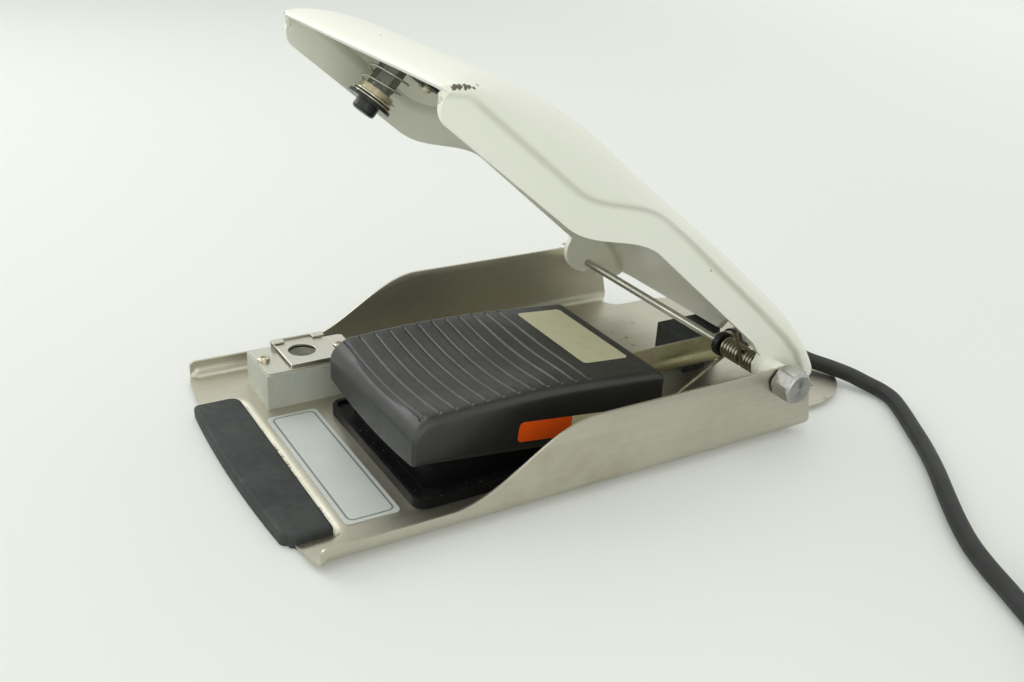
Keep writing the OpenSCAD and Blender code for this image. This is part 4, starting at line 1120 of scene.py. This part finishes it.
def layered(name, outline, layers, shift):
    """Closed solid from an outline: rings inset along its normals at rising heights, both ends
    closed to the middle. Each layer is (height, inset); shift maps (x, y, z) to the shared frame."""
    p = np.asarray(outline, float)
    ahead, behind = np.roll(p, -1, 0), np.roll(p, 1, 0)
    tangent = ahead - behind
    tangent /= np.linalg.norm(tangent, axis=1, keepdims=True)
    inward = np.stack([-tangent[:, 1], tangent[:, 0]], 1)
    rings = [np.column_stack([p + inset * inward, np.full(len(p), z)]) for z, inset in layers]
    middle = p.mean(0)
    for ring, at in ((rings[0], 0), (rings[-1], len(rings) + 1)):
        drawn_in = np.broadcast_to(middle, p.shape) * 0.96 + ring[:, :2] * 0.04
        rings.insert(at, np.column_stack([drawn_in, ring[:, 2]]))
    rings.insert(0, np.broadcast_to([*middle, layers[0][0]], rings[0].shape))
    rings.append(np.broadcast_to([*middle, layers[-1][0]], rings[0].shape))
    grid = np.stack(rings)
    grid = np.concatenate([grid, grid[:, :1]], 1)
    mesh = mesh_of(name, [shift(grid)])
    return outward(mesh, shift(np.array([*middle, (layers[0][0] + layers[-1][0]) / 2])))


def front_bumper():
    """Rubber edging: bowed front with a broad chamfer, square near end, round far corner."""
    x0, x1, rear, r = BUMPER
    low, high = box_in_tray("front_bumper")
    nose, top = low[1], high[2]
    x = np.linspace(x0 + 1.4, x1 - 6.0, 60)
    front = np.column_stack([x, nose + bow(x)])
    y_far, y_near = nose + bow(x0), nose + bow(x1)
    near = [(x1 - 4.6, y_near + 0.4), (x1 - 3.9, y_near + 1.9), (x1 - 2.2, y_near + 2.2),
            (x1 - 1.3, y_near + 3.6), (x1 - 0.2, y_near + 4.0), (x1, y_near + 6.0), (x1, rear - 3)]
    outline = np.concatenate([front, near, arc((x1 - 2, rear - 2), 2.0, 0, 90, 6),
                              np.column_stack([np.linspace(x1 - 6, x0 + 8, 24), np.full(24, rear)]),
                              arc((x0 + r, rear - r), r, 90, 180, 10),
                              [(x0, y_far + 6), (x0, y_far + 3), (x0 + 0.4, y_far + 1.0)]])
    layers = [(low[2], 0.5), (low[2] + 0.4, 0.1), (top - 2.0, 0.0), (top - 1.0, 0.25),
              (top - 0.35, 0.75), (top - 0.08, 1.25), (top, 1.9)]
    mesh = layered("rubber_edging", outline, layers, from_tray)
    place(mesh, "base", RUBBER, ["front_bumper"], angle=40)


# ------------------------------------------------------------------ pedal

PEDAL_LOW, PEDAL_HIGH = box_in_tray("switch_pedal")
PEDAL_X = (PEDAL_LOW[0] + PEDAL_HIGH[0]) / 2
PEDAL_HALF = (PEDAL_HIGH[0] - PEDAL_LOW[0]) / 2
PEDAL_FRONT, PEDAL_REAR = PEDAL_LOW[1], PEDAL_HIGH[1]
LIP_FRONT, LIP_REAR = 18.5, 7.2
TUBE_Z, TUBE_CLEAR = 16.6, 7.7
DISH_FROM, DISH_SLOPE, DISH_RADIUS = 36.4, math.tan(math.radians(1.6)), 227.2


CROWN_Y, CROWN_DROP, CROWN_SPAN = 88.0, 1.3, 36.0
NOSE_ROUND, TAIL_ROUND, SLOPE_FROM, SLOPE_Z = 11, 4.5, 130.0, 36.55


def crown(y):
    """Crown of the tread along the pedal, a parabola."""
    return PEDAL_HIGH[2] - CROWN_DROP * ((y - CROWN_Y) / CROWN_SPAN) ** 2


def pedal_profile():
    """Side line of the top: front arc, crown, straight slope and rear arc, with its normals."""
    a = np.radians(np.linspace(180, 90, 64))
    front = np.stack([PEDAL_FRONT + NOSE_ROUND + NOSE_ROUND * np.cos(a),
                      crown(56) - NOSE_ROUND + NOSE_ROUND * np.sin(a), np.cos(a), np.sin(a)], 1)
    y = np.arange(PEDAL_FRONT + NOSE_ROUND + 0.3, SLOPE_FROM, 0.33)
    rise = -2 * CROWN_DROP * (y - CROWN_Y) / CROWN_SPAN ** 2
    long = np.hypot(rise, 1)
    top = np.stack([y, crown(y), -rise / long, 1 / long], 1)
    start_z = crown(SLOPE_FROM)
    slope = (start_z - SLOPE_Z) / 35.0
    long = math.hypot(slope, 1)
    y = np.linspace(SLOPE_FROM, PEDAL_REAR - TAIL_ROUND - 0.1, 30)
    level = np.stack([y, start_z - slope * (y - SLOPE_FROM), np.full(30, slope / long),
                      np.full(30, 1 / long)], 1)
    end_y = PEDAL_REAR - TAIL_ROUND + TAIL_ROUND * slope / long
    centre_z = start_z - slope * (end_y - SLOPE_FROM) - TAIL_ROUND / long
    a = np.linspace(math.atan2(1, slope), 0, 12)[1:]
    rear = np.stack([PEDAL_REAR - TAIL_ROUND + TAIL_ROUND * np.cos(a),
                     centre_z + TAIL_ROUND * np.sin(a), np.cos(a), np.sin(a)], 1)
    return np.concatenate([front, top, level, rear])


def tread_relief(y, dx):
    """Ribs across the tread: a narrow valley at each pitch, a soft swell behind it, and a
    small round hollow where the valley ends on the near side."""
    rank = np.clip(np.round((y - RIB_FROM) / RIB_PITCH), 0, RIB_COUNT - 1)
    from_rib = y - RIB_FROM - rank * RIB_PITCH
    across = smoothstep(-39.4, -38.4, dx) * (1 - smoothstep(38.2, 39.2, dx))
    wide = smoothstep(-38.6, -33.0, dx) * (1 - smoothstep(32.0, 38.0, dx))
    last = RIB_FROM + (RIB_COUNT - 1) * RIB_PITCH
    ends = smoothstep(45.0, 48.0, y) * (1 - smoothstep(last + 1.6, last + 5, y))
    swell = 0.14 * np.cos(2 * np.pi * (from_rib - 2.1) / RIB_PITCH) * wide * ends
    lip = 0.12 * np.exp(-((from_rib + 0.95) / 0.5) ** 2) * across
    valley = 0.90 * np.exp(-(from_rib / 0.42) ** 2) * across
    pit = 1.0 * np.exp(-(((dx - 38.3) ** 2 + (from_rib - 0.2) ** 2) / 1.1 ** 2) ** 2)
    return swell + lip - np.maximum(valley, pit)


def pedal():
    """Top swept along the side line, its side edges rounded: 1.6 mm on the front face, 4 mm on
    the top. It is lowered to a round-bottomed dish by a soft minimum, then ribbed, and walls
    drop from its rim: a bowed front, sides that run down to the rear, an arch for the tube."""
    side = pedal_profile()
    edge = 1.6 + 2.4 * smoothstep(0.1, 0.95, side[:, 3:4])
    turn = np.radians(np.linspace(90, 0, 9))
    fine = np.linspace(0.86, 1, 17)
    columns = np.concatenate([-fine[::-1], np.linspace(-0.86, 0.86, 50)[1:-1], fine])
    flat = (PEDAL_HALF - edge) * columns[None, 1:-1]
    bend = PEDAL_HALF - edge + edge * np.sin(turn)
    across = np.concatenate([-bend, flat, bend[:, ::-1]], 1)
    round_off = edge * (1 - np.cos(turn))
    drop = np.concatenate([round_off, np.zeros_like(flat), round_off[:, ::-1]], 1)
    y = side[:, :1] - drop * side[:, 2:3]
    z = side[:, 1:2] - drop * side[:, 3:4]
    dish = DISH_FROM + (y - 40) * DISH_SLOPE + across ** 2 / (2 * DISH_RADIUS)
    soft = 0.4
    low = -soft * np.logaddexp(-z / soft, -dish / soft) + soft * 0.02
    z = np.where(np.abs(across) < PEDAL_HALF - 2.2, np.minimum(z, low), z)
    z = z + np.where(side[:, 3:4] > 0.3, tread_relief(y, across), 0)
    grid = np.stack([PEDAL_X + across, y, z], -1)
    patches = [grid]
    for rim in (grid[:, 0], grid[:, -1], grid[0], grid[-1]):
        dx = rim[:, 0] - PEDAL_X
        bottom = np.interp(rim[:, 1], [PEDAL_FRONT + 5, PEDAL_REAR], [LIP_FRONT + 2, LIP_REAR])
        bowed = LIP_FRONT - 1 + 3 * (dx / PEDAL_HALF) ** 2
        bottom = np.where(rim[:, 1] < PEDAL_FRONT + 4, bowed, bottom)
        arch = TUBE_Z + np.sqrt(np.clip(TUBE_CLEAR ** 2 - dx ** 2, 0, None))
        bottom = np.where((rim[:, 1] > PEDAL_REAR - 3) & (np.abs(dx) < TUBE_CLEAR), arch, bottom)
        share = np.linspace(0, 1, 7)[:, None]
        fall = np.broadcast_to(rim, (7, *rim.shape)).copy()
        fall[..., 2] = rim[:, 2] + (bottom - rim[:, 2]) * share
        patches.append(fall)
    mesh = mesh_of("pedal_shell", [from_tray(p) for p in patches])
    outward(mesh, from_tray([PEDAL_X, 90.0, 25.0]))
    place(mesh, "pedal", PEDAL, ["switch_pedal"], thickness=1.2, bevel=0.3, angle=60)


# ------------------------------------------------------------------ springs, screws and caps

def coil_spring(name, path, wire, up_axis, node, material, body=None):
    """Round wire along a path in metres; it rides the CAD node's body unless one is named."""
    mesh = mesh_of(name, swept(path, wire / 2 * MM, up_axis, 12))
    return place(mesh, body or body_of(node), material, [node])


def torsion_path(a0, reach, turns, x0, pitch, radius):
    """A straight leg that meets a coil about the hinge axis at angle a0, where it is tangent
    to it; on the coil x = x0 + pitch (a - a0) / 2 pi."""
    on = np.array([0, math.cos(a0), math.sin(a0)])
    back = np.array([0, math.sin(a0), -math.cos(a0)])
    axis = np.array([x0, HINGE[1], HINGE[2]])
    leg = axis + radius * on + np.linspace(1, 0.02, 14)[:, None] * reach * back
    a = a0 + np.linspace(0, turns * 2 * np.pi, int(turns * 40) + 1)
    coil = np.stack([x0 + pitch * (a - a0) / (2 * np.pi), HINGE[1] + radius * np.cos(a),
                     HINGE[2] + radius * np.sin(a)], 1)
    return np.concatenate([leg, coil])


def torsion_springs():
    """The hinge spring's halves: one leg lies on the tray's floor, the other under the cover's
    top. Leg length = (height to cover, less half the wire and a gap) / cosine of its slope."""
    wire, radius = 1.6, 4.2
    angle = math.radians(299.4)
    reach = (HINGE[2] + radius * math.sin(angle) - SHEET - wire / 2 - 0.15) / math.cos(angle)
    low = box_in_tray("spring_tray_end")[0]
    path = torsion_path(angle, reach, 6.5, low[0] + wire / 2, 1.95, radius)
    coil_spring("spring_tray_side", from_tray(path), wire, (1, 0, 0), "spring_tray_end", DARK_SPRING)
    angle = math.radians(198) + OPEN
    rise = COVER_TOP - COVER_WALL - HINGE[2] - radius * math.sin(angle) - wire / 2 - 0.3
    low = box_in_tray("spring_cover_end")[0]
    path = torsion_path(angle, rise / -math.cos(angle), 5.0, low[0] + wire / 2, 1.9, radius)
    coil_spring("spring_cover_side", from_cover(path), wire, (1, 0, 0), "spring_cover_end", DARK_SPRING)


CATCH_X, CATCH_Y, CATCH_SEAT = -50.5, 41.0, 44.0


def helix(x, y, low, high, radius, turns, count):
    """Coil about a line along Z: a runs through the turns as z runs from low to high."""
    t = np.linspace(0, 1, count)
    a = 2 * np.pi * turns * t
    return np.stack([x + radius * np.cos(a), y + radius * np.sin(a), low + (high - low) * t], 1)


def catch_spring():
    """Open coil of even pitch between the washer and the pad."""
    wire = 1.1
    path = helix(CATCH_X, CATCH_Y, 26.35, CATCH_SEAT - wire / 2, 9.65, 3.0, 180)
    across = from_cover([0.0, 0, 1]) - from_cover([0.0, 0, 0])
    across /= np.linalg.norm(across)
    piece = coil_spring("catch_coil", from_cover(path), wire, across, "catch_spring", BRIGHT_SPRING)
    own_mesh(piece)


def pedal_spring():
    """Return spring under the pedal: six turns."""
    low, high = box_in_tray("pedal_spring")
    middle = (low + high) / 2
    wire = 1.4
    path = helix(middle[0], middle[1], low[2] + wire / 2, high[2] - wire / 2,
                 (high[0] - low[0] - wire) / 2, 6.0, 240)
    piece = coil_spring("pedal_coil", from_tray(path), wire, (0, 0, 1), "pedal_spring", BRIGHT_SPRING,
                        "base")
    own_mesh(piece)


def cross_head(radius, high, shank, depth, slot):
    """Pan head with a cross recess, as a polar height field with its side and shank. The
    dome is high (0.42 + 0.58 (1 - (r / radius)^2.6)^(1 / 2.2)); the recess is two bars."""
    share = np.concatenate([np.linspace(0, 0.62, 14), [0.7, 0.78, 0.86, 0.92, 0.96, 0.985, 1.0]])
    a = np.linspace(0, 2 * np.pi, 97)
    u, v = radius * share[:, None] * np.cos(a), radius * share[:, None] * np.sin(a)
    dome = high * (0.42 + 0.58 * (1 - share ** 2.6) ** (1 / 2.2))[:, None]
    half_arm, arm_reach = slot * 0.17, slot * 0.55
    bars = np.minimum(np.maximum(np.abs(u) - half_arm, np.abs(v) - arm_reach),
                      np.maximum(np.abs(v) - half_arm, np.abs(u) - arm_reach))
    sunk = (1 - smoothstep(-0.12, 0.10, bars)) * depth
    head = np.stack([u, v, dome - sunk], -1)
    rim = head[-1]
    neck = rim * [shank / radius, shank / radius, 0]
    side = np.stack([rim, rim * [1, 1, 0], neck, neck + [0, 0, -1.0]])
    return [head, side]


def screws(name, node, places, radius, high, shank, shift, point_down=False):
    """Two screws as one piece; each is moved to its place and turned a little differently."""
    patches = []
    for k, (x, y, z) in enumerate(places):
        c, s = math.cos(0.5 + 1.1 * k), math.sin(0.5 + 1.1 * k)
        for patch in cross_head(radius, high, shank, 0.9, radius * 0.95):
            u, v, w = patch[..., 0], patch[..., 1], patch[..., 2]
            p = np.stack([u * c - v * s, u * s + v * c, w], -1)
            patches.append(shift(p * ([1, -1, -1] if point_down else [1, 1, 1]) + [x, y, z]))
    mesh = mesh_of(name, patches)
    place(mesh, body_of(node), NICKEL, [node], angle=40)


def hinge_caps():
    """Near side: hexagon nut rounded off at its corners, a chamfer round its end and a flat
    turned face. Its radius is (flats / 2) / cos(angle from the nearest flat), 7.6 at most.
    Far side: a low round nut with the pin's end standing out of it."""
    start = box_in_tray("hinge_washers")[1][0]
    long = box_in_tray("hinge_caps")[1][0] - start
    a = np.linspace(0, 2 * np.pi, 145)
    from_flat = (a - math.radians(6) + np.pi / 6) % (np.pi / 3) - np.pi / 6
    hexagon = np.minimum(7.1 / np.cos(from_flat), 7.6)
    rows = [(0.0, hexagon - 0.25), (0.3, hexagon), (long - 0.25 - (hexagon - 6.5) * 0.9, hexagon),
            (long - 0.25, 6.7), (long, 6.45), (long, 4.0), (long, 2.0), (long, 0.0)]
    near = np.stack([np.stack([np.broadcast_to(h, a.shape), r * np.sin(a), r * np.cos(a)], -1)
                     for h, r in ((h, np.broadcast_to(r, a.shape)) for h, r in rows)])
    far = turned([(6.3, 0), (6.5, 0.2), (6.5, 3.0), (6.1, 3.4), (3.6, 3.4), (3.6, long - 0.4),
                  (3.2, long), (0, long)], (0, 0, 0), (-1, 0, 0))
    mesh = mesh_of("hinge_end_caps", [from_tray(near + [start, HINGE[1], HINGE[2]]),
                                      from_tray(far + [-start, HINGE[1], HINGE[2]])])
    place(mesh, "base", CAP_STEEL, ["hinge_caps"], angle=22)


def hinge_discs(name, profile, node, material):
    """A disc at each end of the hinge, turned about X; the profile is (radius, x)."""
    disc = turned(profile, (0, 0, 0), (1, 0, 0)) + [0, HINGE[1], HINGE[2]]
    mesh = mesh_of(name, [from_tray(disc), from_tray(disc * [-1, 1, 1])])
    place(mesh, body_of(node), material, [node], angle=40)


def hinge_washers():
    """Thin washers between the walls and the caps."""
    wall, end = TRAY_HALF, box_in_tray("hinge_washers")[1][0]
    profile = [(0, wall + 0.02), (6.6, wall + 0.02), (6.9, wall + 0.25), (6.9, end - 0.25), (6.6, end),
               (0, end)]
    hinge_discs("hinge_end_washers", profile, "hinge_washers", BLACK)


def hinge_spacers():
    """Bosses between the cover's skirts and the walls, set a little into the skirt."""
    inner, outer = COVER_HALF - SKIRT_INSET - 0.4, box_in_tray("hinge_spacers")[1][0]
    profile = [(3.2, inner), (6.4, inner), (6.4, outer - 0.5), (5.9, outer), (3.2, outer), (3.2, inner)]
    hinge_discs("hinge_end_spacers", profile, "hinge_spacers", ENAMEL)


def tube_and_gland():
    """Tube from the switch to a small round gland behind the cover, both turned about Y."""
    low, high = box_in_tray("conduit_tube")
    x, z, radius = (low[0] + high[0]) / 2, (low[2] + high[2]) / 2, (high[2] - low[2]) / 2
    end = box_in_tray("gland_nut")[1][1]
    wall, hole = 1.25, 4.0
    tube = [(radius - wall, low[1]), (radius, low[1]), (radius, end - 6.4), (radius - 0.2, end - 6.2),
            (radius - wall, end - 6.2), (radius - wall, low[1])]
    mesh = mesh_of("lead_tube", [from_tray(turned(tube, (0, 0, 0), (0, 1, 0)) + [x, 0, z])])
    place(mesh, "base", ZINC, ["conduit_tube"], angle=40)
    grip = radius - 0.1
    gland = [(grip, end - 7.4), (7.1, end - 7.4), (7.4, end - 7.1), (7.4, end - 3.2), (6.9, end - 1.4),
             (5.9, end - 0.3), (4.8, end), (hole, end), (hole, end - 6.0), (grip, end - 6.0),
             (grip, end - 7.4)]
    mesh = mesh_of("lead_gland", [from_tray(turned(gland, (0, 0, 0), (0, 1, 0)) + [x, 0, z])])
    place(mesh, "base", BLACK, ["gland_body", "gland_nut"], angle=40)


def catch_boss():
    """Pad cast under the cover's top for the catch, run up into the shell."""
    half_y = 24.5
    outline = round_corners(11.0, -half_y, half_y, 6.0)[:-1] + [CATCH_X, CATCH_Y]
    layers = [(45.6, 0.9), (45.7, 0.5), (46.1, 0.1), (46.8, 0.0), (56.0, 0.0)]

    def under_top(points):
        """To the shared frame, with heights kept inside the cover's top wall."""
        p = np.array(points, float)
        rows = top_curve()
        ahead = rows[rows[:, 0] < TAIL_Y]
        top = np.interp(p[..., 1], ahead[:, 0], ahead[:, 1])
        side = LIP_Z + (top - LIP_Z) * (COVER_TOP - SHOULDER_HIGH - LIP_Z) / (COVER_TOP - LIP_Z)
        out = np.clip((np.abs(p[..., 0]) - COVER_HALF + SHOULDER_WIDE) / SHOULDER_WIDE, 0, 1)
        shell = side + (top - side) * np.sqrt(1 - out ** 2) - 1.3
        p[..., 2] = np.minimum(p[..., 2], shell)
        return from_cover(p)

    place(layered("catch_boss", outline, layers, under_top), "cover", ENAMEL, [], angle=40)


tray()
front_bumper()
pedal()
torsion_springs()
catch_spring()
pedal_spring()
catch_boss()
hinge_caps()
hinge_washers()
hinge_spacers()
tube_and_gland()
SCREW_ROWS = (CATCH_Y - 18.9, CATCH_Y + 18.9)
screws("latch_block_screws", "latch_screws", [(CATCH_X, y, 19.2) for y in SCREW_ROWS], 3.0, 2.3, 1.5,
       from_tray)
screws("catch_pad_screws", "catch_screws", [(CATCH_X, y, 44.1) for y in SCREW_ROWS], 3.25, 2.4, 1.7,
       from_cover, point_down=True)

worn("feet", RUBBER, 0.4)
worn("name_plate", PLATE, 0.12)
worn("latch_block", BLOCK, 0.5, segments=3)
worn("latch_guide", LATCH_SHEET, 0.15)
worn("latch_slide", LATCH_SHEET, 0.2)
worn("hinge_pin", PIN_STEEL, 0.2)
worn("retaining_ring", BLACK, 0.5)
worn("stop_block", RUBBER, 0.5)
worn("switch_base", SWITCH, 0.5)
worn("pedal_pin", PIN_STEEL, 0.2)
worn("microswitch", INNER, 0.2)
worn("microswitch_button", BUTTON, 0.2)
worn("rating_label", CREAM_FILM, 0.05)
worn("side_label", SIDE_FILM, 0.05)
worn("inner_lead", JACKET, 0.2)
worn("catch_base", BLACK, 0.3)
worn("catch_post", POST_STEEL, 0.2)
worn("catch_tip", TIP, 0.2)
worn("catch_washers", NICKEL, 0.15)
worn("catch_seal", RUBBER, 0.1)
worn("catch_collar", ZINC, 0.25)

# ------------------------------------------------------------------ floor and light

BACKDROP = tone(232, 235, 229)
FLOOR_LIFT, FLOOR_REACH = 0.15, 3.0


def seen_directly(net):
    """1 for rays from the camera, off gloss or through glass, 0 for those that only light."""
    rays = net.add("LightPath").outputs
    straight = net.math("ADD", rays["Is Camera Ray"], rays["Is Glossy Ray"])
    return net.math("ADD", straight, rays["Is Transmission Ray"], clamp=True)


def floor_material():
    """Pale floor: matt, lifted toward white for the camera and in reflections, more so far off."""
    material, net, shader = new_material("floor")
    set_plain(shader, Base_Color=tone(220, 222, 219), Roughness=0.9, Specular_IOR_Level=0.1,
              Emission_Color=BACKDROP)
    far = net.add("SeparateXYZ", Vector=net.objects()).outputs["Y"]
    lift = net.math("ADD", net.range(far, 0.2, 1.6, 0.0, 0.28), FLOOR_LIFT)
    net.put(shader.inputs["Emission Strength"], net.math("MULTIPLY", seen_directly(net), lift))
    return material


def studio_floor():
    """Square floor a hair under the feet."""
    corners = [(x * FLOOR_REACH, y * FLOOR_REACH, 0) for x, y in ((-1, -1), (1, -1), (1, 1), (-1, 1))]
    mesh = bpy.data.meshes.new("floor")
    mesh.from_pydata(corners, [], [(0, 1, 2, 3)])
    mesh.materials.append(floor_material())
    floor = bpy.data.objects.new("floor", mesh)
    floor.location.z = -0.0002
    bpy.context.scene.collection.objects.link(floor)


def studio_world():
    """Near-white surround, a little brighter to look at than it is as a light."""
    world = bpy.data.worlds.new("studio")
    world.use_nodes = True
    bpy.context.scene.world = world
    net = Net(world.node_tree)
    background = world.node_tree.nodes["Background"]
    background.inputs["Color"].default_value = BACKDROP
    net.put(background.inputs["Strength"], net.lerp(seen_directly(net), 0.80, 1.02))


def softbox(name, position, target, size, watts):
    """Rectangular area light aimed at a point, size and places in metres."""
    light = bpy.data.lights.new(name, "AREA")
    light.shape = "RECTANGLE"
    light.size, light.size_y = size
    light.energy = watts
    obj = bpy.data.objects.new(name, light)
    obj.location = position
    obj.rotation_mode = "QUATERNION"
    obj.rotation_quaternion = (Vector(target) - Vector(position)).to_track_quat("-Z", "Y")
    bpy.context.scene.collection.objects.link(obj)


studio_floor()
studio_world()
softbox("key softbox", (-0.9, -0.6, 0.75), (0, 0, 0.05), (0.9, 0.8), 4.2)
softbox("front softbox", (0.1, -1.0, 0.6), (0, 0, 0.05), (0.8, 0.6), 1.2)
softbox("top softbox", (-0.3, 0.3, 1.25), (0.05, 0, 0.05), (1.2, 1.2), 2.8)
softbox("side softbox", (1.1, -0.35, 0.55), (0, 0.05, 0.08), (0.9, 0.8), 2.2)

bpy.context.scene.view_settings.view_transform = "Standard"
